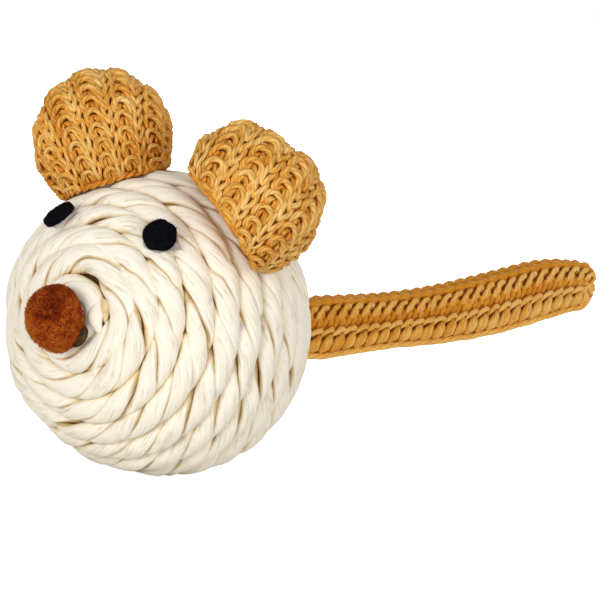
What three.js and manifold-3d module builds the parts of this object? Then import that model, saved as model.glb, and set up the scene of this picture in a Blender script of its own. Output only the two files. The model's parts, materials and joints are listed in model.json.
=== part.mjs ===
// A cat toy in the shape of a mouse: a ball wound with paper rope, with knitted
// ears, felt eyes, a pompom nose and a crocheted tail.
// Millimetres, +Z up. The nose points to -Y, the tail to +Y and the mouse's left
// is +X. The ball rests on two neighbouring turns of its rope, each pressed flat,
// and the origin is the middle of the rear flat.
import * as THREE from "three";
import { mergeVertices } from "three/addons/utils/BufferGeometryUtils.js";
import Module from "manifold-3d";

// Fits
const seatGap = 0.3;
const cutOverrun = 40;
const weldDistance = 0.0005;

// Wound ball
const ballDiameter = 52;
const ropeDiameter = 4.6;
const turnGap = 0.75;
const noseHoleDiameter = 3.6;
const restCutShare = 0.1;
const turnSteps = 24;
const ropeSides = 6;

// Core: two shells that plug together, round a pouch of catnip
const coreWall = 2;
const coreLap = 2.5;
const pouchNeckDiameter = 8;
const pouchNeckLength = 5;
const pouchRuffleDiameter = 11;
const pouchGatherShares = [0.9, 0.5];

// Nose
const pompomDiameter = 11.4;
const pompomDepth = 9.2;
const pompomSink = 2;

// Eyes
const eyeDiameter = 5.8;
const eyeThickness = 1.6;
const eyeGlueRim = 0.3;
const eyeGlueThickness = 0.45;
const eyeEarSpace = 1.8;
const eyeAngleFromTop = 33.4;

// Ears
const earDiameter = 25.3;
const earSink = 6.95;
const earWall = 1.6;
const earGlueThickness = 0.5;
const earForwardAngle = 10.8;
const leftEarAngle = 35.4;
const rightEarAngle = 27.5;

// Tail
const tailLength = 107.5;
const tailHeight = 12.8;
const tailThickness = 5.8;
const tailRise = 12;
const tailRidgeDepth = 0.55;
const tailRidges = 3;
const tailFrontSpace = 1.6;
const rootKnotDiameter = 6.8;
const anchorStemDiameter = 4.4;
const anchorKnotDiameter = 9;
const anchorKnotLength = 3.4;

// Shares of the tail's length, rise and height, from its root to its tip
const tailFormShares = [
  [0.0, 0.0, 0.62],
  [0.06, 0.0, 0.76],
  [0.15, 0.03, 0.88],
  [0.22, 0.07, 0.86],
  [0.36, 0.18, 0.81],
  [0.5, 0.32, 0.87],
  [0.65, 0.52, 0.96],
  [0.79, 0.76, 1.0],
  [0.87, 0.89, 0.9],
  [0.93, 0.95, 0.76],
];

// Facets
const shellFacets = 24;
const earFacets = 24;
const smallFacets = 16;
const arcSteps = 8;
const edgeSteps = 3;
const tailSteps = 22;
const tailTipSteps = 4;

const ballRadius = ballDiameter / 2;
const ropeRadius = ropeDiameter / 2;
const windingRadius = ballRadius - ropeRadius;
const coverRadius = ballRadius + seatGap;
const turnStep = (2 * Math.PI) / turnSteps;
const chordShare = Math.cos(turnStep / 2);
const ropeHalfWidth = ropeRadius * Math.cos(Math.PI / ropeSides);
const turnPitch = 2 * ropeHalfWidth + turnGap;
const coreRadius = (ballRadius - ropeDiameter) * chordShare - seatGap;
const cavityRadius = coreRadius - coreWall;
const pitchAngle = turnPitch / windingRadius;
const restReach = ballRadius * Math.sin(pitchAngle / 2);
const restHeight = ballRadius * Math.cos(pitchAngle / 2) * chordShare - ropeDiameter * restCutShare;
const rootKnotRadius = rootKnotDiameter / 2;
const pivotReach = coverRadius + rootKnotRadius;
const anchorSeat = cavityRadius - seatGap;
const anchorFront = Math.sqrt(anchorSeat ** 2 - (anchorKnotDiameter / 2) ** 2) - anchorKnotLength;
const radians = THREE.MathUtils.degToRad;

const wasm = await Module();
wasm.setup();

const ropePaper = { color: 0xe8dcc2, roughness: 0.85, metalness: 0 };
const corePlastic = { color: 0xd9d5cb, roughness: 0.6, metalness: 0 };
const pouchCloth = { color: 0xb9b08d, roughness: 0.95, metalness: 0 };
const rustPompom = { color: 0x8a3f18, roughness: 1, metalness: 0 };
const blackFelt = { color: 0x121214, roughness: 1, metalness: 0 };
const clearGlue = { color: 0xc9c7bd, roughness: 0.35, metalness: 0 };
const earYarn = { color: 0xc98a3e, roughness: 0.9, metalness: 0 };
const earWadding = { color: 0xeeeae0, roughness: 1, metalness: 0 };
const tailYarn = { color: 0xb9772c, roughness: 0.9, metalness: 0 };

// A mesh with its own material and name.
function piece(name, geometry, look) {
  const mesh = new THREE.Mesh(geometry, new THREE.MeshStandardMaterial(look));
  mesh.name = name;
  return mesh;
}

// A manifold solid from a closed three.js geometry.
function solidOf(geometry) {
  const bare = geometry.clone();
  bare.deleteAttribute("normal");
  bare.deleteAttribute("uv");
  const welded = mergeVertices(bare, weldDistance);
  return new wasm.Manifold(
    new wasm.Mesh({
      numProp: 3,
      vertProperties: welded.attributes.position.array,
      triVerts: new Uint32Array(welded.index.array),
    }),
  );
}

// A three.js geometry from a manifold solid.
function geometryOf(solid) {
  const mesh = solid.getMesh();
  const geometry = new THREE.BufferGeometry();
  geometry.setAttribute("position", new THREE.BufferAttribute(mesh.vertProperties, 3));
  geometry.setIndex(new THREE.BufferAttribute(mesh.triVerts, 1));
  geometry.computeVertexNormals();
  return geometry;
}

// Points of an arc in a profile, centred on the turning axis. Angles run from
// the axis's far end.
function arc(centre, radius, from, to, steps = arcSteps) {
  const points = [];
  for (let step = 0; step <= steps; step++) {
    const angle = from + ((to - from) * step) / steps;
    const reach = angle === 0 || angle === Math.PI ? 0 : radius * Math.sin(angle);
    points.push([reach, centre + radius * Math.cos(angle)]);
  }
  return points;
}

// A profile turned about the Y axis.
function turned(profile, facets) {
  const points = profile.map(([reach, along]) => new THREE.Vector2(reach, along));
  return new THREE.LatheGeometry(points, facets);
}

// The angle, seen from the first of two circles on one axis, at which they cross.
function crossingAngle(radius, otherRadius, spacing) {
  const along = (radius ** 2 + spacing ** 2 - otherRadius ** 2) / (2 * spacing);
  return Math.acos(along / radius);
}

// A tube through rings of points, closed at both ends.
function loft(rings) {
  const sides = rings[0].length;
  const positions = rings.flat(2);
  const faces = [];
  for (let ring = 0; ring + 1 < rings.length; ring++) {
    for (let side = 0; side < sides; side++) {
      const next = (side + 1) % sides;
      const a = ring * sides + side;
      const b = ring * sides + next;
      faces.push(a, b, b + sides, a, b + sides, a + sides);
    }
  }
  const last = (rings.length - 1) * sides;
  for (let side = 1; side + 1 < sides; side++) {
    faces.push(0, side + 1, side);
    faces.push(last, last + side, last + side + 1);
  }
  const geometry = new THREE.BufferGeometry();
  geometry.setAttribute("position", new THREE.Float32BufferAttribute(positions, 3));
  geometry.setIndex(faces);
  geometry.computeVertexNormals();
  return geometry;
}

// Rope winding: one spiral from the nose to the tail. Two turns cross under the
// ball, one on each side of its middle and both halfway along a step, so a whole
// chord of each lies on the ground.
function ropeRings() {
  const noseTurn = Math.asin((noseHoleDiameter / 2 + ropeHalfWidth) / windingRadius);
  const tailTurn = Math.asin((anchorStemDiameter / 2 + seatGap + ropeHalfWidth) / windingRadius);
  const stepAngle = pitchAngle / turnSteps;
  const stepsBefore = Math.floor((Math.PI / 2 - noseTurn) / stepAngle + (turnSteps - 1) / 2);
  const stepsAfter = Math.floor((Math.PI / 2 - tailTurn) / stepAngle - (turnSteps + 1) / 2);
  const rings = [];
  for (let step = -stepsBefore; step <= stepsAfter + 1; step++) {
    const fromBottom = step - 1 / 2;
    const polar = Math.PI / 2 + pitchAngle / 2 + fromBottom * stepAngle;
    const around = Math.PI + fromBottom * turnStep;
    const outward = onBall(polar, around);
    const tailward = onBall(polar + Math.PI / 2, around);
    const ring = [];
    for (let side = 0; side < ropeSides; side++) {
      const angle = (2 * Math.PI * side) / ropeSides;
      const corner = outward.clone().multiplyScalar(windingRadius + ropeRadius * Math.cos(angle));
      corner.addScaledVector(tailward, ropeRadius * Math.sin(angle));
      ring.push(corner.toArray());
    }
    rings.push(ring);
  }
  return rings;
}

// A direction from the ball's centre: polar runs from the nose, and around runs
// from the top, counter-clockwise for someone who faces the mouse.
function onBall(polar, around) {
  return new THREE.Vector3(
    -Math.sin(polar) * Math.sin(around),
    -Math.cos(polar),
    Math.sin(polar) * Math.cos(around),
  );
}

// The least distance between the corners of one turn and those of the next, on
// the rings and halfway between them.
function leastTurnGap(rings) {
  const points = [];
  for (let ring = 0; ring + 1 < rings.length; ring++) {
    const here = rings[ring].map((corner) => new THREE.Vector3(...corner));
    const there = rings[ring + 1].map((corner) => new THREE.Vector3(...corner));
    points.push(here);
    points.push(here.map((corner, side) => corner.clone().lerp(there[side], 1 / 2)));
  }
  let least = Infinity;
  for (let from = 0; from < points.length; from++) {
    for (let to = from + turnSteps; to < Math.min(points.length, from + 3 * turnSteps); to++) {
      for (const corner of points[from]) {
        for (const other of points[to]) {
          least = Math.min(least, corner.distanceTo(other));
        }
      }
    }
  }
  return least;
}

function ropeWinding() {
  const rings = ropeRings();
  const turns = (rings.length - 1) / turnSteps;
  const gap = leastTurnGap(rings);
  console.log(`rope: ${turns.toFixed(1)} turns, least gap between turns ${gap.toFixed(2)} mm`);
  const ground = new THREE.BoxGeometry(ballDiameter, ballDiameter, cutOverrun);
  ground.translate(0, 0, -restHeight - cutOverrun / 2);
  return geometryOf(solidOf(loft(rings)).subtract(solidOf(ground)));
}

// Core shells. The front one has the tongue of the lap and the rear one its lip
// and the hole for the tail's anchor.
const lapLand = (coreWall - seatGap) / 2;
const tongueRadius = cavityRadius + lapLand;
const lipRadius = tongueRadius + seatGap;

function coreFrontShell() {
  return turned(
    [
      ...arc(0, coreRadius, Math.PI, Math.PI / 2),
      [tongueRadius, 0],
      [tongueRadius, coreLap],
      [cavityRadius, coreLap],
      ...arc(0, cavityRadius, Math.PI / 2, Math.PI),
    ],
    shellFacets,
  );
}

function coreRearShell() {
  const holeRadius = anchorStemDiameter / 2 + seatGap;
  const seam = Math.acos(seatGap / coreRadius);
  const lapEnd = coreLap + seatGap;
  const cavityStart = Math.acos(lapEnd / cavityRadius);
  const outer = arc(0, coreRadius, seam, Math.asin(holeRadius / coreRadius));
  const inner = arc(0, cavityRadius, Math.asin(holeRadius / cavityRadius), cavityStart);
  return turned([...outer, ...inner, [lipRadius, lapEnd], [lipRadius, seatGap], outer[0]], shellFacets);
}

// Catnip pouch: it fills the core and is gathered to a neck behind.
function catnipPouch() {
  const bodyRadius = cavityRadius - seatGap;
  const neck = pouchNeckDiameter / 2;
  const ruffle = pouchRuffleDiameter / 2;
  const end = anchorFront - seatGap;
  const shoulder = arc(0, bodyRadius, Math.PI, Math.PI / 3, arcSteps + 2);
  const gather = new THREE.SplineCurve([
    new THREE.Vector2(...shoulder.at(-1)),
    new THREE.Vector2(2 * neck, end - pouchNeckLength * pouchGatherShares[0]),
    new THREE.Vector2(neck, end - pouchNeckLength * pouchGatherShares[1]),
    new THREE.Vector2(ruffle, end),
  ]);
  const gathered = gather.getPoints(arcSteps).slice(1);
  return turned([...shoulder, ...gathered.map((point) => point.toArray()), [0, end]], smallFacets);
}

// Nose: a pompom on the first turn, and the glue that fills the turn's hole.
function nosePompom() {
  const ball = new THREE.SphereGeometry(1, smallFacets, smallFacets / 2);
  ball.rotateX(Math.PI / 2);
  ball.scale(pompomDiameter / 2, pompomDepth / 2, pompomDiameter / 2);
  ball.translate(0, pompomSink - coverRadius - pompomDepth / 2, 0);
  const winding = new THREE.SphereGeometry(coverRadius, 2 * shellFacets, shellFacets);
  return geometryOf(solidOf(ball).subtract(solidOf(winding)));
}

function noseGlue() {
  const plugRadius = noseHoleDiameter / 2 - seatGap;
  const inside = coreRadius + seatGap;
  const outside = ballRadius;
  return turned(
    [
      ...arc(0, outside, Math.PI, Math.PI - plugRadius / outside, edgeSteps),
      ...arc(0, inside, Math.PI - plugRadius / inside, Math.PI, edgeSteps),
    ],
    smallFacets,
  );
}

// A round pad on the ball, turned about the line from the ball's centre: its
// faces follow the ball and its outer edge is rounded.
function pad(seatRadius, thickness, radius) {
  const round = thickness / 2;
  const top = seatRadius + thickness;
  const edge = [];
  for (let step = 0; step <= edgeSteps; step++) {
    const angle = (Math.PI * step) / (2 * edgeSteps);
    edge.push([
      radius - round + round * Math.cos(angle),
      Math.sqrt(top ** 2 - (radius - round) ** 2) - round + round * Math.sin(angle),
    ]);
  }
  return turned(
    [
      ...arc(0, seatRadius, 0, Math.asin(radius / seatRadius), edgeSteps),
      ...edge,
      ...arc(0, top, Math.asin((radius - round) / top), 0, edgeSteps).slice(1),
    ],
    smallFacets,
  );
}

// Ear: a stuffed knitted ball cut to the winding. The cover is open below, and
// the glue lies inside its rim.
const earRadius = earDiameter / 2;
const earStand = coverRadius + earRadius - earSink;
const earInnerRadius = earRadius - earWall;
const stuffingSeat = coverRadius + earGlueThickness + seatGap;

function earCover() {
  const outerRim = Math.PI - crossingAngle(earRadius, coverRadius, earStand);
  const innerRim = Math.PI - crossingAngle(earInnerRadius, coverRadius, earStand);
  const seatOuter = crossingAngle(coverRadius, earRadius, earStand);
  const seatInner = crossingAngle(coverRadius, earInnerRadius, earStand);
  return turned(
    [
      ...arc(earStand, earInnerRadius, 0, innerRim),
      ...arc(0, coverRadius, seatInner, seatOuter, edgeSteps).slice(1, -1),
      ...arc(earStand, earRadius, outerRim, 0, arcSteps + edgeSteps),
    ],
    earFacets,
  );
}

function earStuffing() {
  const radius = earInnerRadius - seatGap;
  const rim = Math.PI - crossingAngle(radius, stuffingSeat, earStand);
  const seat = crossingAngle(stuffingSeat, radius, earStand);
  return turned(
    [...arc(0, stuffingSeat, 0, seat, edgeSteps), ...arc(earStand, radius, rim, 0).slice(1)],
    smallFacets,
  );
}

function earGlue() {
  const opening = coverRadius * Math.sin(crossingAngle(coverRadius, earInnerRadius, earStand));
  return pad(coverRadius, earGlueThickness, opening - seatGap);
}

// Tail anchor: the yarn end that passes through the core, with a knot inside.
function tailAnchor() {
  const stem = anchorStemDiameter / 2;
  const knot = anchorKnotDiameter / 2;
  const round = anchorKnotLength / 2;
  const socket = rootKnotRadius + seatGap;
  const side = [];
  for (let step = 0; step <= edgeSteps; step++) {
    const angle = (Math.PI * step) / (2 * edgeSteps);
    side.push([knot - round + round * Math.sin(angle), anchorFront + round - round * Math.cos(angle)]);
  }
  return turned(
    [
      [0, anchorFront],
      ...side,
      ...arc(0, anchorSeat, Math.asin(knot / anchorSeat), Math.asin(stem / anchorSeat), edgeSteps),
      ...arc(pivotReach, socket, Math.PI - Math.asin(stem / socket), Math.PI, edgeSteps),
    ],
    smallFacets,
  );
}

function tailRootKnot() {
  return turned(arc(0, rootKnotRadius, Math.PI, 0), smallFacets);
}

// Tail: a thick crocheted strip on edge, with lengthwise ridges on both sides
// and a round tip. It is cut to the root knot that it turns on.
function tailSection(height, thickness) {
  const section = [];
  const rows = 4 * tailRidges;
  for (let row = 0; row < 2 * rows; row++) {
    const side = row < rows ? 1 : -1;
    const share = side * (1 - (2 * (row % rows)) / rows);
    const groove = (tailRidgeDepth * (1 - Math.cos(tailRidges * Math.PI * share))) / 2;
    const full = (thickness / 2) * Math.sqrt(1 - share ** 4);
    section.push([side * Math.max(full - groove * (1 - share ** 4), 0), (height / 2) * share]);
  }
  return section;
}

function tailKnit() {
  const form = new THREE.CatmullRomCurve3(
    tailFormShares.map((shares) => new THREE.Vector3(...shares)),
  );
  const stations = form.getPoints(tailSteps);
  const neck = stations.at(-1);
  const slope = neck.clone().sub(stations.at(-2));
  for (let step = 1; step <= tailTipSteps; step++) {
    const angle = (Math.PI / 2) * (step / (tailTipSteps + 1 / 2));
    const along = Math.sin(angle) * (1 - neck.x);
    stations.push(
      new THREE.Vector3(
        neck.x + along,
        neck.y + (slope.y / slope.x) * along,
        neck.z * Math.cos(angle),
      ),
    );
  }
  const rings = stations.map((station) => {
    const thin = station.x > neck.x ? Math.sqrt(station.z / neck.z) : 1;
    const along = tailFrontSpace + (tailLength - tailFrontSpace) * station.x;
    const lift = tailRise * station.y;
    const section = tailSection(tailHeight * station.z, tailThickness * thin);
    return section.map(([across, up]) => [across, along, lift + up]);
  });
  const socket = new THREE.SphereGeometry(rootKnotRadius + seatGap, smallFacets, smallFacets / 2);
  return geometryOf(solidOf(loft(rings)).subtract(solidOf(socket)));
}

// Turns a piece made along +Y to a direction from the ball's centre.
function aimed(mesh, direction) {
  mesh.quaternion.setFromUnitVectors(new THREE.Vector3(0, 1, 0), direction.normalize());
  return mesh;
}

// An eye lies in front of the ear on its side, a named space from the ear's rim.
function eyeDirection(side) {
  const ear = earDirection(side, leftEarAngle);
  const aside = radians(eyeAngleFromTop);
  const rim = crossingAngle(coverRadius, earRadius, earStand);
  const glue = Math.asin((eyeDiameter / 2 + eyeGlueRim) / coverRadius);
  const apart = rim + glue + eyeEarSpace / coverRadius;
  const upward = side * ear.x * Math.sin(aside) + ear.z * Math.cos(aside);
  const polar = Math.atan2(upward, -ear.y) - Math.acos(Math.cos(apart) / Math.hypot(upward, ear.y));
  return onBall(polar, -side * aside);
}

function earDirection(side, angle) {
  const forward = radians(earForwardAngle);
  const lean = radians(angle);
  return new THREE.Vector3(
    side * Math.sin(lean) * Math.cos(forward),
    -Math.sin(forward),
    Math.cos(lean) * Math.cos(forward),
  );
}

const mouse = new THREE.Group();
const ball = new THREE.Group();
ball.position.set(0, -restReach, restHeight);
mouse.add(ball);

ball.add(piece("core_front_shell", coreFrontShell(), corePlastic));
ball.add(piece("core_rear_shell", coreRearShell(), corePlastic));
ball.add(piece("catnip_pouch", catnipPouch(), pouchCloth));
ball.add(piece("rope_winding", ropeWinding(), ropePaper));
ball.add(piece("nose_pompom", nosePompom(), rustPompom));
ball.add(piece("nose_glue", noseGlue(), clearGlue));

for (const [name, side, earAngle] of [
  ["left", 1, leftEarAngle],
  ["right", -1, rightEarAngle],
]) {
  const look = eyeDirection(side);
  const eyeSeat = coverRadius + eyeGlueThickness + seatGap;
  const glueRadius = eyeDiameter / 2 + eyeGlueRim;
  const felt = pad(eyeSeat, eyeThickness, eyeDiameter / 2);
  const glue = pad(coverRadius, eyeGlueThickness, glueRadius);
  ball.add(aimed(piece(name + "_eye", felt, blackFelt), look));
  ball.add(aimed(piece(name + "_eye_glue", glue, clearGlue), look));
  const lean = earDirection(side, earAngle);
  ball.add(aimed(piece(name + "_ear_cover", earCover(), earYarn), lean));
  ball.add(aimed(piece(name + "_ear_stuffing", earStuffing(), earWadding), lean));
  ball.add(aimed(piece(name + "_ear_glue", earGlue(), clearGlue), lean));
}

ball.add(piece("tail_anchor", tailAnchor(), tailYarn));
const tail = new THREE.Group();
tail.position.y = pivotReach;
ball.add(tail);
tail.add(piece("tail_root_knot", tailRootKnot(), tailYarn));
tail.add(piece("tail_knit", tailKnit(), tailYarn));

export default mouse;
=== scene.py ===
"""A wound-paper cat toy in the shape of a mouse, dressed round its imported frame.

All lengths are metres, in the frame's own axes: +Z up, the nose towards -Y, the
tail towards +Y and the mouse's left at +X.
"""
import json
from math import acos, asin, atan2, cos, hypot, pi, radians, sin, sqrt

import bpy
import numpy as np
from mathutils import Matrix, Vector


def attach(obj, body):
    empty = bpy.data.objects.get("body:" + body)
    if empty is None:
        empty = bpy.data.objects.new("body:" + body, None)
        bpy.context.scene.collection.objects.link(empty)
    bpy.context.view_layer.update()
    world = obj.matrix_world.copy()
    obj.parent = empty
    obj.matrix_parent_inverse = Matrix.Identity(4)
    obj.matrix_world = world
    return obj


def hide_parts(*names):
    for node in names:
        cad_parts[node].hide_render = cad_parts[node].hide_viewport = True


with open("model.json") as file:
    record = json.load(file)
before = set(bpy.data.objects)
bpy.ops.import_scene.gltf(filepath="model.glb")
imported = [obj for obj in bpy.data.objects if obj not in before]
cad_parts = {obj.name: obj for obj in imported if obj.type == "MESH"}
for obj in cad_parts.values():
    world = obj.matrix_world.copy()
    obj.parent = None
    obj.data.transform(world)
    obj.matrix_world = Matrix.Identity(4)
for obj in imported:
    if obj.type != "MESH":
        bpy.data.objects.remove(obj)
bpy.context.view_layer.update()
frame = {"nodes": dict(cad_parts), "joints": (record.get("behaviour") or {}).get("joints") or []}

MM = 0.001
TURN = 2 * pi
SEED = 20

# Places and sizes of the frame's solids
PIVOT = np.array(frame["joints"][0]["pos_m"])
PIVOT_REACH = 29.7 * MM
CENTRE = PIVOT - np.array([0.0, PIVOT_REACH, 0.0])
BALL_RADIUS = 26 * MM
COVER_RADIUS = 26.3 * MM
# Just above the floor, where the rope is pressed flat
GROUND = 0.02 * MM

# The photograph's directions: across it, upright in it and towards its camera
VIEW_ACROSS = np.array([0.7954, 0.5755, 0.1903])
VIEW_UPRIGHT = np.array([-0.2098, -0.0332, 0.9771])
VIEW_SIDE = np.array([0.568, -0.817, 0.094])

# Rope winding
ROPE_RADIUS = 2.3 * MM
ROPE_CENTRE_RADIUS = BALL_RADIUS - ROPE_RADIUS
TURN_PITCH = 4.734 * MM
ROPE_LAY = 22 * MM
ROPE_STEP = 0.5 * MM
ROPE_SQUASH = 2.25
ROPE_WIDENING = 1.12
PLY_COUNT = 3
PLY_OUTER_SIDES = 26
PLY_INNER_SIDES = 6
PLY_SPREAD = radians(65)
PLY_CORE_RADIUS = 0.35 * MM
FIRST_POLAR = radians(4.7)
LAST_POLAR = radians(167.6)
# Beyond its last full turn the rope thins out round the tail: how many turns it
# runs on, and how far it closes in on the tail
THIN_TURNS = 0.92
THIN_CLOSING = (radians(6.4), radians(-0.8))
# Places where neighbouring turns part: polar and around in degrees, the half
# opening and the half length in mm
ROPE_GAPS = [
    (18.4, 355, 0.85, 3.8),
    (16.8, 40, 0.3, 1.4),
    (15.7, 286, 0.9, 3.2),
    (38.1, 348.6, 0.6, 1.8),
    (37.3, 321, 0.35, 1.2),
    (48.1, 300.8, 0.35, 1.2),
    (47.2, 275, 0.35, 1.2),
    (59.5, 300.8, 0.3, 1.2),
    (71.1, 306, 0.35, 1.5),
    (81.8, 282, 0.45, 7.0),
]
# Places where the turns are pushed outward from the nose: polar and around in
# degrees, how far and the half length in mm
ROPE_PUSHES = [(16.0, 348, 1.25, 5.5), (13.7, 290, 1.0, 4.0)]
# Where the ball is wound fuller: its direction across the view and upright, by
# how many mm, and over what angle
BALL_SWELLS = [(0.56, -0.83, 0.65, 0.8), (-0.93, -0.40, 0.6, 0.22), (-0.93, 0.37, 0.6, 0.18)]
# Grey spots painted on the paper between the turns: polar and around in degrees,
# the reach in mm and how strong they are
GREY_SPOTS = [
    (79.9, 283.0, 1.3, 0.8),
    (79.9, 280.0, 1.3, 0.7),
    (69.3, 280.0, 1.3, 0.5),
    (65.7, 251.0, 1.5, 0.35),
]
GREY_SPOT_DEPTH = 1.1 * MM
# The paper's tones from its darkest streak, and the painted shade of the grooves
# from the deepest, between two distances from the ball's centre: the deeper the
# paper lies between the turns, the darker and tanner it is painted
PAPER_TONES = [(0.28, (0.76, 0.67, 0.50)), (0.42, (0.88, 0.81, 0.67)), (0.7, (0.92, 0.87, 0.77))]
GROOVE_DEPTHS = (22.6 * MM, 25.2 * MM)
GROOVE_SHADE_TONES = [
    (0.0, (0.13, 0.08, 0.03)),
    (0.3, (0.66, 0.47, 0.21)),
    (0.6, (0.97, 0.87, 0.66)),
    (0.85, (1.0, 0.965, 0.86)),
    (1.0, (1, 1, 1)),
]
# The turn in front of the left ear stands proud: polar and around in degrees, its
# height in mm and how far it reaches each way in radians
PROUD_TURN = (65.9, 315, 0.45, 0.08, 0.6)
# Creases along a ply: how close they lie and how deep they are in mm
CREASES = ((2, 0.05), (4, 0.06), (7, 0.05), (11, 0.035))
# Slow changes along the rope, along its plies and creases and along the tail's
# rim: their wavelength and size
WAVES = {
    "rope_aside": (34 * MM, 0.16 * MM),
    "rope_height": (24 * MM, 0.07 * MM),
    "ply_lay": (60 * MM, 0.5 * MM),
    "ply_spread": (11 * MM, 0.07),
    "ply_shift": (14 * MM, 0.10),
    "ply_thickness": (10 * MM, 0.028),
    "crease_drift": (30 * MM, 0.9),
    "crease_strength": (16 * MM, 0.6),
    "tail_rim": (9 * MM, 0.05 * MM),
}

# Face
EYE_RADIUS = 2.9 * MM
EYE_THICKNESS = 1.6 * MM
EYE_HAIRS = 700
# The felt's section: share of its radius and of its thickness, ring by ring
EYE_PROFILE = [
    (0.02, 0.0), (0.5, 0.0), (0.9, 0.0), (0.99, 0.108), (1.0, 0.36), (1.0, 0.63),
    (0.95, 0.81), (0.84, 0.9), (0.6, 0.945), (0.35, 0.972), (0.15, 0.99), (0.02, 0.99),
]
# Where glue has run out beside each eye, as a turn round it, the lump's size
# and how far the glue stands out beyond the felt, in mm
GLUE_LUMPS = {"left": (6.0, 0.9, -0.12), "right": (2.6, 0.2, -1.4)}
# How far each eye sits below and behind its place in the frame, in degrees, and
# how the right one leans
EYE_DROPS = {1: (-0.6, 0.0), -1: (3.0, 1.6)}
RIGHT_EYE_LEAN = np.array([-0.14, 0.10, 0.16])
# Section of the glue round an eye, in mm: outward from its rim and level
COLLAR_SECTION = [
    (-1.9, 0.0), (0.0, 0.0), (0.12, 0.15), (0.0, 0.35), (-0.35, 0.5), (-0.9, 0.5),
    (-1.9, 0.4),
]
NOSE_RADIUS = 5.7 * MM
NOSE_DEPTH = 4.6 * MM
NOSE_SINK = 2.3 * MM
NOSE_ASIDE = 0.35 * MM
# Half sizes in mm of the glue under the pompom and of the dark bead that shows
# beside it, and the bead's place: polar and around in degrees
NOSE_GLUE_SIZE = (2.4, 2.2, 0.55)
BEAD_SIZE = (1.8, 1.1, 1.0)
BEAD_PLACE = (10.6, 243)
BEAD_FIBRES = 900
PILE_FIBRES = 9000
# Where the pompom's fibres start and end, how big its heart is and how flat its
# left side is, all as shares of its size
ROOT_SHARE = 0.78
TIP_SHARE = 0.985
HEART_SHARE = 0.8
FLAT_SHARE = 0.88
# Where painted shade darkens the pompom most, as a direction from its middle: the
# deep shade between its fibres
PILE_SHADE_PLACE = (0.27, -0.89, 0.23)
# Where the pompom is fuller or cut closer: the direction across the view and
# upright, the share that it grows by and how narrow the place is
NOSE_CORNERS = [(0.72, -0.70, 0.16, 7.0), (0.85, 0.45, -0.09, 5.0), (-1.0, 0.05, -0.08, 3.0)]

# Ears
EAR_RADIUS = 12.65 * MM
EAR_STAND = 32 * MM
EAR_FORWARD = radians(10.8)
EAR_LEANS = {"left": radians(35.4), "right": radians(27.5)}
EYE_ASIDE = radians(33.4)
EYE_EAR_SPACE = 1.8 * MM
EYE_GLUE_RIM = 0.3 * MM
WALE_WIDTH = 4.7 * MM
ROW_HEIGHT = 2.75 * MM
WALE_ORIGIN = 2.8 * EAR_RADIUS
CLOTH_BASE = 11.55 * MM
# Flattened sides of the soft ears: the direction inward, and as shares of the
# ear's radius how far the side lies from the middle, where it lies nearest, how
# much it bows and how gently it begins. The left ear's first side leans on the
# proud turn
EAR_FLATS = {
    "left": [
        ((0.5847, 0.4823, 0.6536), 0.368, 0.33, 0.14, 0.16),
        ((-0.271, -0.295, -0.918), 0.87, 0.0, 0.0, 0.10),
        ((0.822, 0.560, -0.105), 0.86, 0.0, 0.0, 0.08),
    ],
    "right": [((0.795, 0.576, 0.190), 0.93, 0.0, 0.0, 0.08)],
}
# How far each soft ear sits from the middle of its solid, in mm, and how much it
# is stretched across the view and upright
EAR_SHIFTS = {"left": (0.01, -0.07, -0.75), "right": (0.18, 0.16, 0.35)}
EAR_STRETCHES = {"left": (0.0, 0.04), "right": (-0.045, -0.01)}
# The glue pad under each ear: share of its radius and level in mm, ring by ring
GLUE_PAD = [(0.03, 0.0), (0.5, 0.0), (1.0, 0.0), (1.03, 0.25), (0.98, 0.5), (0.5, 0.6), (0.03, 0.6)]
EDGE_RADIUS = EAR_RADIUS - 0.9 * MM
SHELL_SIDES = 80
SHELL_RINGS = 40
# Under the knit, from the ear's middle: the lining's two faces, the wadding's face
# and the rim of the glue pad; and from the ball's middle: where the first two end.
# The lining's dark colour is painted shade, seen through the gaps of the knit
SHADE_LINING_FACES = (CLOTH_BASE - 0.35 * MM, EAR_RADIUS - 1.75 * MM)
SHADE_LINING_SEAT = COVER_RADIUS - 0.25 * MM
FILLING_FACES = (EAR_RADIUS - 2.1 * MM,)
FILLING_SEAT = COVER_RADIUS + 0.9 * MM
GLUE_PAD_RIM = EAR_RADIUS - 3.2 * MM

# Tail
TAIL_LENGTH = 107.5 * MM
TAIL_HEIGHT = 12.8 * MM
TAIL_RISE = 12 * MM
TAIL_FRONT_SPACE = 1.6 * MM
# From root to tip, as shares of the tail's length, rise and height
TAIL_FORM = [
    (0.0, 0.0, 0.62), (0.06, 0.0, 0.76), (0.15, 0.04, 0.88), (0.22, 0.095, 0.85),
    (0.36, 0.21, 0.80), (0.5, 0.34, 0.85), (0.65, 0.54, 0.92), (0.79, 0.775, 0.92),
    (0.87, 0.885, 0.84), (0.93, 0.93, 0.75),
]
STITCH = 3.5 * MM
# How far the stitches stop short of the lower and the upper edge, and how much
# the rows of each side bulge at the tip
FACE_LOW = 1.5 * MM
FACE_HIGH = 1.3 * MM
TAIL_BULGES = {-1: 0.35, 1: 0.12}
# Smooth strands of the lower edge, in mm: across, beyond the edge and radius
RIM_STRANDS = [(1.3, -0.65, 0.64), (-1.3, -0.65, 0.64), (0.0, -0.55, 0.6)]
# The tail's yarn: sides, plies, lay and how deep the plies part
TAIL_PLIES = (10, 5, 8 * MM, 0.26)
KNOT_RADIUS = 3.4 * MM
KNOT_YARN = 0.5 * MM
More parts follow.
